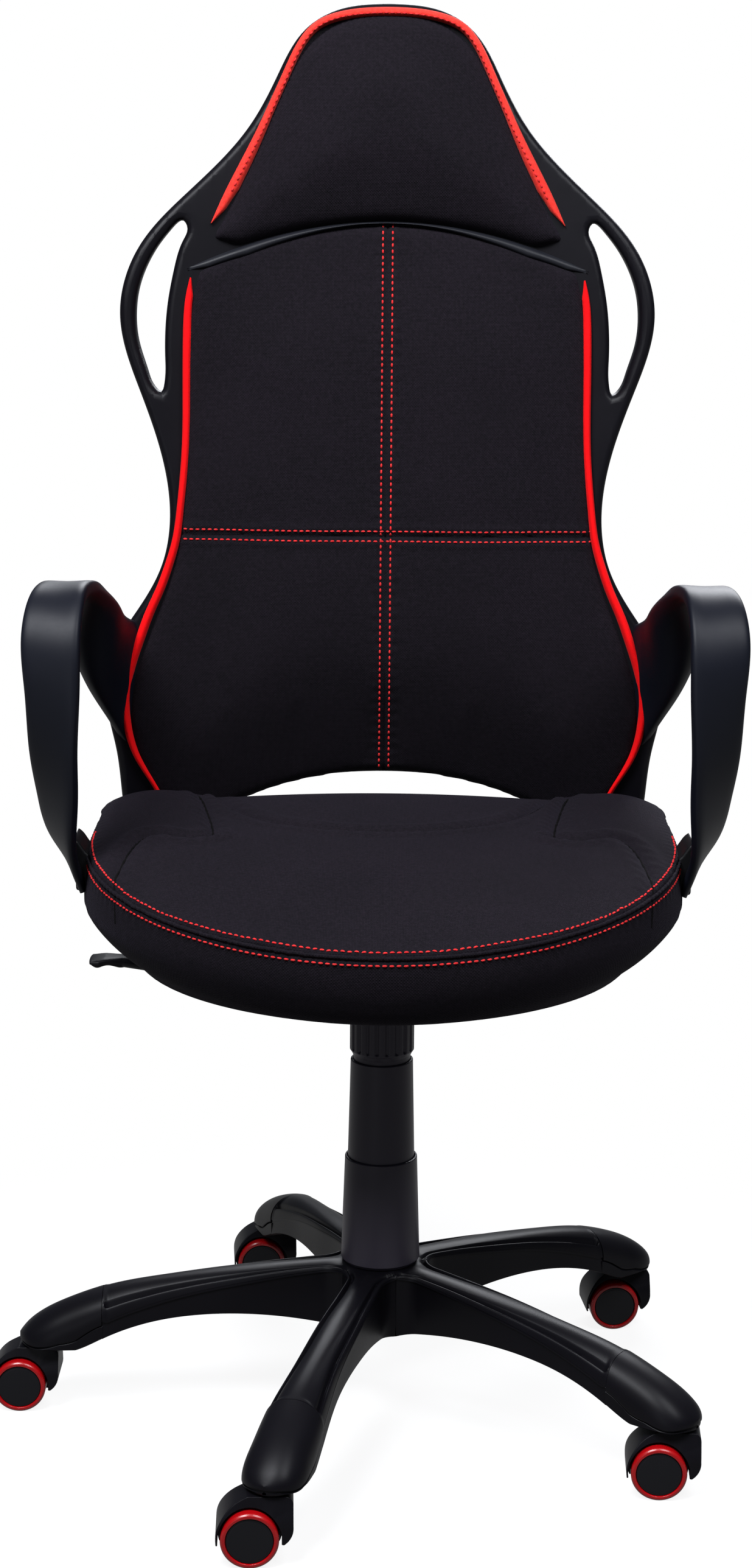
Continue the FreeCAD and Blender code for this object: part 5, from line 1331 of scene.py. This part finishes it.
def armGrids(start, end, rows):
    # Top skin, both outer walls, lips and the hollow inside, from one radius to another.
    form = baseForm
    r = np.linspace(start, end, rows)
    side = np.sin(np.linspace(-1, 1, 61) * np.pi / 2)
    rr = np.repeat(r[:, None], len(side), axis=1)
    yy = side[None, :] * armWidth(r)[:, None]
    grids = [np.stack([rr, yy, skinHeight(rr, yy)], -1)]
    edge = np.concatenate([[37.0], r[r > 37.6]])
    width = armWidth(edge)
    slope = np.gradient(width, edge)
    out = np.stack([-slope, np.ones_like(slope)], -1) / np.hypot(1, slope)[:, None]
    high = wallTop(edge)
    low = np.minimum(along(form["belly"], edge), high - 0.5)
    tall = high - low
    step = np.array([0, 0.02, 0.05, 0.3, 0.7, 0.97, 1.0])
    inward = np.array([0, 0.9, 1.2, 0.9, 0.3, 0.0, 0.5])
    for sign in (1, -1):
        wall = np.empty((len(edge), len(step), 3))
        wall[..., 0] = edge[:, None] - out[:, :1] * inward
        wall[..., 1] = sign * (width[:, None] - out[:, 1:] * inward)
        wall[..., 2] = high[:, None] - tall[:, None] * step
        grids.append(wall)
        inside = np.empty((len(edge), 4, 3))
        offsets = np.array([0.5, form["wall"], form["wall"], form["wall"]])
        inside[..., 0] = edge[:, None] - out[:, :1] * offsets
        inside[..., 1] = sign * np.maximum(width[:, None] - out[:, 1:] * offsets, 0)
        ceiling = np.maximum(high - 2, low)
        inside[..., 2] = np.stack([low, low, 0.5 * (low + ceiling), ceiling], -1)
        grids.append(inside)
    inner = np.maximum(width - out[:, 1] * form["wall"], 0)
    roof = np.linspace(-1, 1, 9)
    ceiling = np.maximum(high - 2, low)
    grids.append(np.stack([np.repeat((edge - out[:, 0] * form["wall"])[:, None], 9, axis=1),
                           roof[None] * inner[:, None], np.repeat(ceiling[:, None], 9, axis=1)], -1))
    return grids


def crossRib(r):
    # A thin wall across the hollow of an arm.
    form = baseForm
    half = armWidth(np.array([float(r)]))[0] - 2
    low = along(form["belly"], r) + 2
    high = wallTop(np.array([float(r)]))[0] - 1
    corners = [(-half, low), (half, low), (half, high), (-half, high)]
    faces = (r - form["ribThick"] / 2, r + form["ribThick"] / 2)
    return closedEnds(np.array([[(at, y, z) for y, z in corners] for at in faces], float))


def turnAbout(points, degrees, shift=(0, 0, 0)):
    # Turns points about the upright axis, then moves them.
    a = math.radians(degrees)
    x, y, z = np.moveaxis(points, -1, 0)
    turned = np.stack([x * math.cos(a) - y * math.sin(a), x * math.sin(a) + y * math.cos(a), z], -1)
    return turned + np.asarray(shift, float)


def capLow(r):
    # Lower edge of a cap: it goes on from the rim of the arm and comes down to just above the sole.
    form = baseForm
    start = float(wallTop(np.array([form["capStart"]]))[0]) - 0.8
    sole = np.maximum(along(form["belly"], r), form["foot"]) + form["capAbove"]
    return start + (sole - start) * smoothStep(form["capStart"] - 12, form["capStart"] + 40, r) ** 0.8


def capGrid():
    # An end cap: sections from the part line to the blunt toe. The sides stand a little proud of the arm.
    form = baseForm
    t = np.linspace(0, 1, 64)
    r = form["capStart"] + 0.5 + (form["tip"] - form["capStart"] - 0.5) * np.sin(t * np.pi / 2) ** 1.15
    sections = []
    for here in r:
        width = float(armWidth(np.array([here]))[0])
        side = np.sin(np.linspace(-1, 1, 45) * np.pi / 2) * width
        z = skinHeight(np.full(45, here), side)
        low = min(float(capLow(here)), float(z.min()) - 0.4)
        out = width + form["capProud"] * min(1, width / 6)
        upper = np.stack([np.full(45, here), side * out / max(width, 0.01), z], -1)
        soft = min(1.3, 0.4 * (z[-1] - low))
        drop = np.array([[here, out, z[-1] * 0.4 + (low + soft) * 0.6], [here, out, low + soft],
                         [here, out - 0.3 * soft, low + 0.3 * soft], [here, max(out - soft, 0), low],
                         [here, 0.7 * out, low + 0.3], [here, 0, low + 0.3]])
        sections.append(np.vstack([drop[::-1] * [1, -1, 1], upper, drop]))
    return closedEnds(np.array(sections))


def soleGrid():
    # What shows of the arm below its cap: the wall goes on to the toe as a lip, with a groove between the two.
    form = baseForm
    r = np.linspace(form["capStart"] - 0.5, form["tip"] - 1.0, 70)
    width = np.maximum(armWidth(r + 0.9) + 0.3 * smoothStep(form["capStart"] + 10, form["capStart"] + 40, r), 0.2)
    low = np.maximum(along(form["belly"], r), form["foot"])
    high = np.maximum(np.minimum(capLow(r), wallTop(r) - 1.5), low + 1.5)
    loops = []
    for inset, z in ((100, low), (1.2, low), (0, low + 1.0), (0, high - 2.0), (0.5, high - 1.2), (1.6, high - 0.8),
                     (2.4, high + 1.2), (100, high + 1.2)):
        loops.append(np.stack([r, np.maximum(width - inset, 0), z], -1))
    half = np.array(loops)
    return [half, half * [1, -1, 1]]


def makeBase():
    # One arm's surfaces turned about the column five times, and the hub as a profile turned about it.
    form = baseForm
    star, caps = [], []
    for k in range(form["arms"]):
        angle = form["firstAngle"] + 360 / form["arms"] * k
        grids = armGrids(26, form["capStart"], 150) + soleGrid() + [crossRib(r) for r in form["ribs"]]
        ribs = len(form["ribs"])
        star += [(turnAbout(grid, angle), False, False) for grid in grids[:-ribs]]
        star += [(turnAbout(grid, angle), False, True) for grid in grids[-ribs:]]
        caps.append((turnAbout(capGrid(), angle), False, True))
    hub = [(25.2, 145.8), (23.5, form["hubFoot"]), (form["hubRadius"] - 2, form["hubFoot"]),
           (form["hubRadius"], form["hubFoot"] + 2), (form["hubRadius"], 138), (25.2, 145.8)]
    star.append((revolved(hub, 96), True, False))
    mesh = meshOf("base star", star, outward=False)
    piece = place("base_star_moulding", mesh, "base", satinPlastic, "black_moulding", ["base_star"])
    crispen(piece, 40)
    capMesh = meshOf("arm caps", caps)
    crispen(place("arm_cap_mouldings", capMesh, "base", satinPlastic, "black_moulding", ["arm_end_caps"]), 40)


makeBase()
print("base made")


# Column covers

sleeveForm = {
    "lower": [(35.2, 146, 0), (35.6, 148.4, 0), (37.3, 148.4, 0.5), (34.0, 248.2, 1.2), (32.05, 249, 0.5),
              (32.05, 241, 0), (35.5, 154, 0)],
    "middle": [(29.7, 234, 0), (31.7, 234, 0.4), (29.2, 343.2, 1.0), (27.05, 344, 0.5), (27.05, 336, 0),
               (29.7, 238, 0)],
}
for coverName, body in (("lower", "base"), ("middle", "cover_middle")):
    profile = roundedProfile(sleeveForm[coverName] + sleeveForm[coverName][:1])
    mesh = meshOf(coverName + " cover", [(revolved(profile, 128), True, False)])
    # painted light: the covers' plastic is painted lighter to stand in for light the seat shades off
    crispen(place(coverName + "_cover_moulding", mesh, body, paintedLightCoverPlastic, "black_moulding",
                  [coverName + "_sleeve"]), 40)


collarForm = {
    "profile": [(25.1, 335, 0), (26.7, 335, 0.4), (26.7, 347, 0), (28.5, 351, 0.8), (30, 353, 0.8), (30, 390, 1.0),
                (14.3, 390, 0)],
    "flutes": 20, "fluteDepth": 1.7, "fluteHalf": 0.32,
}


def makeCollar():
    # Neck and fluted collar: flutes are round hollows cut into the rim, ending below its top.
    form = collarForm
    fine = evenAlong(roundedProfile(form["profile"], 4), 90)
    steps = form["flutes"] * 16
    grid = revolved(fine, steps)
    angles = np.linspace(0, 2 * np.pi, steps, endpoint=False)
    wave = bump((angles * form["flutes"] / (2 * np.pi)) % 1 - 0.5, form["fluteHalf"])
    height = smoothStep(353, 355.5, fine[:, 1]) * (1 - smoothStep(386, 390, fine[:, 1]))
    depth = form["fluteDepth"] * np.outer(wave, height * (fine[:, 0] > 28))
    radius = np.hypot(grid[..., 0], grid[..., 1])
    grid[..., :2] *= ((radius - depth) / radius)[..., None]
    mesh = meshOf("collar", [(grid, True, False)])
    # painted light: the collar's plastic is painted lighter to stand in for light the seat shades off
    crispen(place("fluted_collar", mesh, "lift", paintedLightCoverPlastic, "black_moulding", ["top_sleeve"]), 60)


makeCollar()
print("column made")


# Casters, five alike, each turned as it stands

casterForm = {
    "turns": [0, 2, -3, 6, 4], "stemCircle": 324, "trail": 18, "axle": 25, "wheelRadius": 25,
    "gap": 2.3, "top": 61, "wall": 37, "halfWidth": 22,
}


def hoodOutline():
    # Side outline of a hood about its axle: blade, roof, stem wall, its rounded tip and the arc over the wheels.
    form = casterForm
    inner = form["wheelRadius"] + form["gap"]
    top = form["top"] - form["axle"]
    wall = form["wall"]

    def ringPoint(radius, degrees):
        # A point of a circle about the axle.
        return radius * math.cos(math.radians(degrees)), radius * math.sin(math.radians(degrees))

    roof = curveThrough([ringPoint(29.0, 190), ringPoint(29.3, 165), ringPoint(30.0, 142), ringPoint(32.4, 116),
                         (-2, top)], 44)
    flat = np.linspace((0, top), (wall - 8, top), 5)
    corner = arcPoints((wall - 7, top), (wall - 2.05, top - 2.05), (wall, top - 7), 10)
    side = np.linspace((wall, top - 9), (wall, 13), 5)
    tip = arcPoints((wall, 12), (35.3, 2.5), (29.2, -4.5), 14)
    under = arcPoints(ringPoint(inner, -9), ringPoint(inner, 90), ringPoint(inner, 190), 64)
    return np.vstack([roof, flat, corner, side, tip, under])


def hoodSurface():
    # Points and faces in millimetres: the outline carried across the width with softened edges, narrower towards
    # the top, and the web inside.
    form = casterForm
    outline = hoodOutline()
    work = bmesh.new()
    depth = form["halfWidth"]
    loops = []
    for y in (-depth, -depth * 0.5, 0, depth * 0.5, depth):
        loops.append([work.verts.new((x - form["trail"], y, z + form["axle"])) for x, z in outline])
    for a, b in zip(loops, loops[1:]):
        for k in range(len(outline)):
            n = (k + 1) % len(outline)
            work.faces.new((a[k], a[n], b[n], b[k]))
    work.faces.new(loops[0])
    work.faces.new(loops[-1])
    bmesh.ops.recalc_face_normals(work, faces=work.faces)
    rim = [edge for edge in work.edges if edge.calc_face_angle(0) > 0.8]
    bmesh.ops.bevel(work, geom=rim, offset=0.8, segments=3, affect="EDGES", profile=0.5)
    bmesh.ops.triangulate(work, faces=work.faces)
    web = bmesh.ops.create_cone(work, segments=64, radius1=27.4, radius2=27.4, depth=5.6, cap_ends=True)
    turn = Matrix.Rotation(math.pi / 2, 4, "X")
    spot = Matrix.Translation((-form["trail"], 0, form["axle"]))
    bmesh.ops.transform(work, matrix=spot @ turn, verts=web["verts"])
    work.verts.index_update()
    points = np.array([vert.co[:] for vert in work.verts])
    faces = [[vert.index for vert in face.verts] for face in work.faces]
    work.free()
    points[:, 1] *= 1 - 0.32 * smoothStep(36, 61, points[:, 2])
    points[:, 2] = np.maximum(points[:, 2], 15)
    return points, faces


# radius, distance from the middle and rounding, for the red ring, the black centre and the axle; and radius,
# height and rounding for the stem
wheelForm = {
    "ring": [(20.4, 4, 0), (25, 4, 1.4), (25, 22.4, 2.4), (23.2, 24.2, 1.4), (20.9, 24.2, 0.5), (20.4, 22.8, 0),
             (20.4, 4, 0)],
    "disc": [(0, 23.6, 0), (17.6, 23.5, 0), (18.6, 23.1, 0.4), (19.9, 23.1, 0.8), (20.35, 22.4, 0.3), (20.35, 4, 0),
             (17.5, 4, 0.5), (17.5, 19.5, 0.5), (7, 19.5, 0.5), (7, 4, 0.4), (3.2, 4, 0), (3.2, 21.5, 0),
             (0, 21.5, 0)],
    "axle": [(0, -21, 0), (3, -21, 0.6), (3, 21, 0.6), (0, 21, 0)],
    "stem": [(0, 48, 0), (5.5, 48, 0.5), (5.5, 61, 0), (9, 61, 0.4), (9, 63, 0.4), (5.5, 63, 0), (5.5, 77, 1),
             (0, 77, 0)],
}


def acrossAxle(profile, side, steps=96):
    # A wheel part: its profile turned about the axle, on the front or the rear side.
    grid = revolved(profile, steps)
    x, y, z = np.moveaxis(grid, -1, 0)
    return np.stack([x - casterForm["trail"], side * z, y + casterForm["axle"]], -1)


def makeCasters():
    # Hood, pins and wheels made once, then turned and moved to the end of each arm.
    form = casterForm
    hoodPoints, hoodFaces = hoodSurface()
    ring, disc = roundedProfile(wheelForm["ring"], 6), roundedProfile(wheelForm["disc"], 4)
    stem = revolved(roundedProfile(wheelForm["stem"], 3), 48)
    axle = acrossAxle(roundedProfile(wheelForm["axle"], 3), 1, 32)
    for k, turn in enumerate(form["turns"]):
        angle = math.radians(baseForm["firstAngle"] + 360 / baseForm["arms"] * k)
        spot = (form["stemCircle"] * math.cos(angle), form["stemCircle"] * math.sin(angle), 0)
        name = "caster_%d" % (k + 1)
        mesh = bpy.data.meshes.new(name + " hood")
        mesh.from_pydata((turnAbout(hoodPoints, turn, spot) * millimetre).tolist(), [], hoodFaces)
        tidyMesh(mesh)
        piece = place(name + "_hood_moulding", mesh, name, satinPlastic, "caster_plastic", [name + "_hood"])
        crispen(piece, 35)
        pins = meshOf(name + " pins", [(turnAbout(pin, turn, spot), True, False) for pin in (stem, axle)])
        crispen(place(name + "_steel_pins", pins, name, brightSteel, "caster_steel", [name + "_pins"]), 40)
        for sideName, side in (("front", -1), ("rear", 1)):
            wheel = name + "_" + sideName
            rubber = meshOf(wheel + " ring", [(turnAbout(acrossAxle(ring, side), turn, spot), True, False)])
            crispen(place(wheel + "_red_ring", rubber, wheel, glossRed, "wheel_ring", [wheel + "_tyre"]), 50)
            centre = meshOf(wheel + " disc", [(turnAbout(acrossAxle(disc, side), turn, spot), True, False)])
            crispen(place(wheel + "_black_disc", centre, wheel, discPlastic, "wheel_centre", [wheel + "_disc"]), 50)


makeCasters()
print("casters made")


# Arm brackets and lever paddle

bracketForm = {
    # centre and size of each block, and the rounding of its edges
    "riser": ((240.5, 4, 500), (5, 60, 92), 1),
    "foot": ((213, 4, 456.5), (60, 60, 5), 1),
}
# outline of the spacer seen from the front, its depth and the rounding of its edges
spacerForm = {"outline": [(241, 508), (282, 507), (284, 557), (279, 553), (273, 544), (266, 537), (241, 535)],
              "from": -20, "to": 26, "rounding": 2.5}


def makeBrackets():
    # A steel angle on the board and a round-edged spacer that reaches the armrest.
    work = bmesh.new()
    for side in (-1, 1):
        for (x, y, z), size, rounding in bracketForm.values():
            roundedBlock(work, (side * x, y, z), size, rounding, 5)
        ends = [[work.verts.new(Vector((side * x, y, z)) * millimetre) for x, z in spacerForm["outline"]]
                for y in (spacerForm["from"], spacerForm["to"])]
        faces = [work.faces.new(loop) for loop in ends]
        for k in range(len(ends[0])):
            faces.append(work.faces.new((ends[0][k - 1], ends[0][k], ends[1][k], ends[1][k - 1])))
        bmesh.ops.recalc_face_normals(work, faces=faces)
        bmesh.ops.bevel(work, geom=list({edge for face in faces for edge in face.edges}), segments=4,
                        offset=spacerForm["rounding"] * millimetre, affect="EDGES", profile=0.5)
    mesh = bpy.data.meshes.new("arm brackets")
    work.to_mesh(mesh)
    work.free()
    crispen(place("arm_bracket_angles", tidyMesh(mesh), "seat", blackSteel, "black_steel", ["arm_brackets"]), 40)


makeBrackets()


# radius and height of a bolt's low round head with its socket
boltHead = [(0, 1.6), (2.9, 1.6), (3.2, 3.3), (5.4, 3.3), (6.4, 2.5), (6.5, 0), (0, 0)]


def makeBolts():
    # The head turned out of the surface that it sits on: below the seat plate, below the feet, in the armrests.
    spots = [((x, y, 438), math.pi, "X") for x in (-74, 74) for y in (-88, 88)]
    spots += [((x, y, 433), math.pi, "X") for x in (-175, 175) for y in (118, 146)]
    spots += [((side * 280.5, y, 520), side * math.pi / 2, "Y") for side in (-1, 1) for y in (-8, 14)]
    grids = []
    for spot, angle, axis in spots:
        turn = np.array(Matrix.Rotation(angle, 3, axis))
        grids.append((revolved(boltHead, 36) @ turn.T + np.array(spot), True, False))
    bolts = meshOf("socket bolts", grids)
    crispen(place("socket_bolts", bolts, "seat", blackSteel, "black_steel", ["fasteners"]), 40)


makeBolts()


paddleForm = {
    "start": -236, "length": 46, "behind": 90, "wave": 1.4, "waves": 2.3,
    # half width, top and underside, by share of the length
    "half": [(0, 9.5), (0.15, 10), (0.6, 16.5), (0.85, 15.5), (0.97, 8), (1, 0.5)],
    "top": [(0, 415.9), (0.5, 415.7), (1, 413.0)],
    "low": [(0, 405.7), (0.6, 407.3), (1, 409.5)],
}


def makePaddle():
    # A flat finger grip: oval sections that widen outwards, with two finger waves below.
    form = paddleForm
    t = np.linspace(0, 1, 60)
    x = form["start"] - form["length"] * np.sin(t * np.pi / 2) ** 1.1
    half, top, low = (np.interp(t, *np.array(form[key]).T) for key in ("half", "top", "low"))
    fade = smoothStep(0.1, 0.3, t) * (1 - smoothStep(0.8, 0.95, t))
    low = low + form["wave"] * np.cos(t * form["waves"] * 2 * np.pi) * fade
    turn = np.linspace(0, 2 * np.pi, 32, endpoint=False)
    c, s = (np.sign(wave) * np.abs(wave) ** 0.6 for wave in (np.cos(turn), np.sin(turn)))
    y = form["behind"] + half[:, None] * c
    z = (top + low)[:, None] / 2 + (top - low)[:, None] / 2 * s
    points = np.stack([np.repeat(x[:, None], len(turn), axis=1), y, z], -1)
    mesh = meshOf("paddle", [(closedEnds(points), False, True)])
    crispen(place("lever_paddle_moulding", mesh, "lever", satinPlastic, "black_moulding", ["lever_paddle"]), 50)


makePaddle()


def makeLeverSleeve():
    # A thin black sleeve next to the paddle: the outer length of the rod's own surface, pushed out a little.
    rod = frame["nodes"]["lever_rod"]
    mesh = rod.data.copy()
    mesh.transform(rod.matrix_world)
    work = bmesh.new()
    work.from_mesh(mesh)
    bmesh.ops.remove_doubles(work, verts=work.verts, dist=0.01 * millimetre)
    everything = work.verts[:] + work.edges[:] + work.faces[:]
    bmesh.ops.bisect_plane(work, geom=everything, plane_co=(-0.19, 0, 0), plane_no=(1, 0, 0), clear_outer=True)
    work.normal_update()
    for vert in work.verts:
        vert.co += vert.normal * 0.8 * millimetre
    for face in work.faces:
        face.smooth = True
    work.to_mesh(mesh)
    work.free()
    crispen(place("lever_rod_sleeve", mesh, "lever", satinPlastic, "black_moulding"), 40)


makeLeverSleeve()
print("small parts made")


# Floor, light and camera

def makeStage():
    # White paper below, which fades into plain white away from the chair. The camera sees it white and gloss
    # shows it grey, but what it throws back on the chair is as weak as in the photo, where the chair stands
    # before a cut out background.
    floorMaterial, tree, shader = newMaterial("white studio floor", {"Roughness": 0.9, "Specular IOR Level": 0.1})
    path = addNode(tree, "LightPath")
    mirrored = addNode(tree, "Math", {"operation": "MULTIPLY"}, {0: path.outputs["Is Glossy Ray"], 1: 0.4}, 0)
    seen = addNode(tree, "Math", {"operation": "MAXIMUM"}, {0: path.outputs["Is Camera Ray"], 1: mirrored}, 0)
    paper = addNode(tree, "Mix", {"data_type": "RGBA"}, {
        0: seen, 6: toLinear("#4A4A4C"), 7: toLinear("#FFFFFF")}, 2)
    tree.links.new(paper, shader.inputs["Base Color"])
    spot = addNode(tree, "TexCoord", output="Object")
    away = addNode(tree, "VectorMath", {"operation": "LENGTH"}, {0: spot}, "Value")
    far = addNode(tree, "MapRange", {"interpolation_type": "SMOOTHSTEP"},
                  {"Value": away, "From Min": 0.35, "From Max": 0.75, "To Min": 0.88}, 0)
    strength = addNode(tree, "Math", {"operation": "MULTIPLY_ADD"}, {0: seen, 1: 0.92, 2: 0.08}, 0)
    glow = addNode(tree, "Emission", inputs={"Color": (1, 1, 1, 1), "Strength": strength}, output=0)
    blend = addNode(tree, "MixShader", inputs={0: far, 1: shader.outputs["BSDF"], 2: glow}, output=0)
    tree.links.new(blend, tree.nodes["Material Output"].inputs["Surface"])
    bpy.ops.mesh.primitive_plane_add(size=30, location=(0, 0, 0))
    floor = bpy.context.object
    floor.name = "studio_floor"
    floor.data.materials.append(floorMaterial)
    world = bpy.data.worlds.new("studio")
    scene.world = world
    world.use_nodes = True
    tree = world.node_tree
    tree.nodes.clear()
    path = addNode(tree, "LightPath")
    seen = addNode(tree, "Math", {"operation": "MAXIMUM"}, {
        0: path.outputs["Is Camera Ray"], 1: path.outputs["Is Transmission Ray"]}, 0)
    white = addNode(tree, "Background", inputs={"Color": (1, 1, 1, 1), "Strength": 1.0}, output=0)
    soft = addNode(tree, "Background", inputs={"Color": toLinear("#DCE4F4"), "Strength": 0.14}, output=0)
    mix = addNode(tree, "MixShader", inputs={0: seen, 1: soft, 2: white}, output=0)
    addNode(tree, "OutputWorld", inputs={"Surface": mix})


lampForm = [
    # name, place, size, power, aimed at, whether it gives only gloss
    ("key", (-1.1, -1.6, 3.4), (1.2, 1.4), 170, (0, 0, 0.75), False),
    ("fill", (1.2, -1.6, 3.3), (1.2, 1.4), 85, (0, 0, 0.75), False),
    ("gloss", (-1.1, -2.8, 0.75), (0.7, 1.3), 6, (0, 0, 0.5), True),
    ("top", (0, 0.2, 3.3), (2.0, 2.0), 8, (0, 0, 0.5), False),
    ("rear", (0.5, 2.7, 2.3), (2.4, 1.4), 105, (0, 0, 0.8), False),
]


def makeLights():
    # Rectangular lamps, each turned to what it is aimed at.
    for name, spot, size, power, target, glossOnly in lampForm:
        lamp = bpy.data.lights.new(name, "AREA")
        lamp.shape = "RECTANGLE"
        lamp.size, lamp.size_y = size
        lamp.energy = power
        lamp.color = (0.93, 0.95, 1.0)
        holder = bpy.data.objects.new(name + " lamp", lamp)
        holder.location = spot
        direction = Vector(target) - Vector(spot)
        holder.rotation_euler = direction.to_track_quat("-Z", "Y").to_euler()
        holder.visible_diffuse = not glossOnly
        scene.collection.objects.link(holder)


cameraForm = {
    "side": -7.5, "distance": 2401, "height": 1102, "pitch": 11.69, "roll": 0.45, "focalPixels": 4394,
    "imageHeight": 2576,
}


def makeCamera():
    # The photo's camera: the focal length in its pixels gives the lens for a sensor 36 mm high.
    form = cameraForm
    camera = bpy.data.cameras.new("photo camera")
    camera.sensor_fit = "VERTICAL"
    camera.sensor_height = 36
    camera.lens = form["focalPixels"] / form["imageHeight"] * 36
    holder = bpy.data.objects.new("photo camera", camera)
    holder.location = Vector((form["side"], -form["distance"], form["height"])) * millimetre
    tilt = Matrix.Rotation(math.radians(90 - form["pitch"]), 4, "X")
    roll = Matrix.Rotation(math.radians(form["roll"]), 4, "Z")
    holder.rotation_euler = (tilt @ roll).to_euler()
    scene.collection.objects.link(holder)
    scene.camera = holder


makeStage()
makeLights()
makeCamera()
print("floor, light and camera set")
scene.view_settings.view_transform = "Standard"
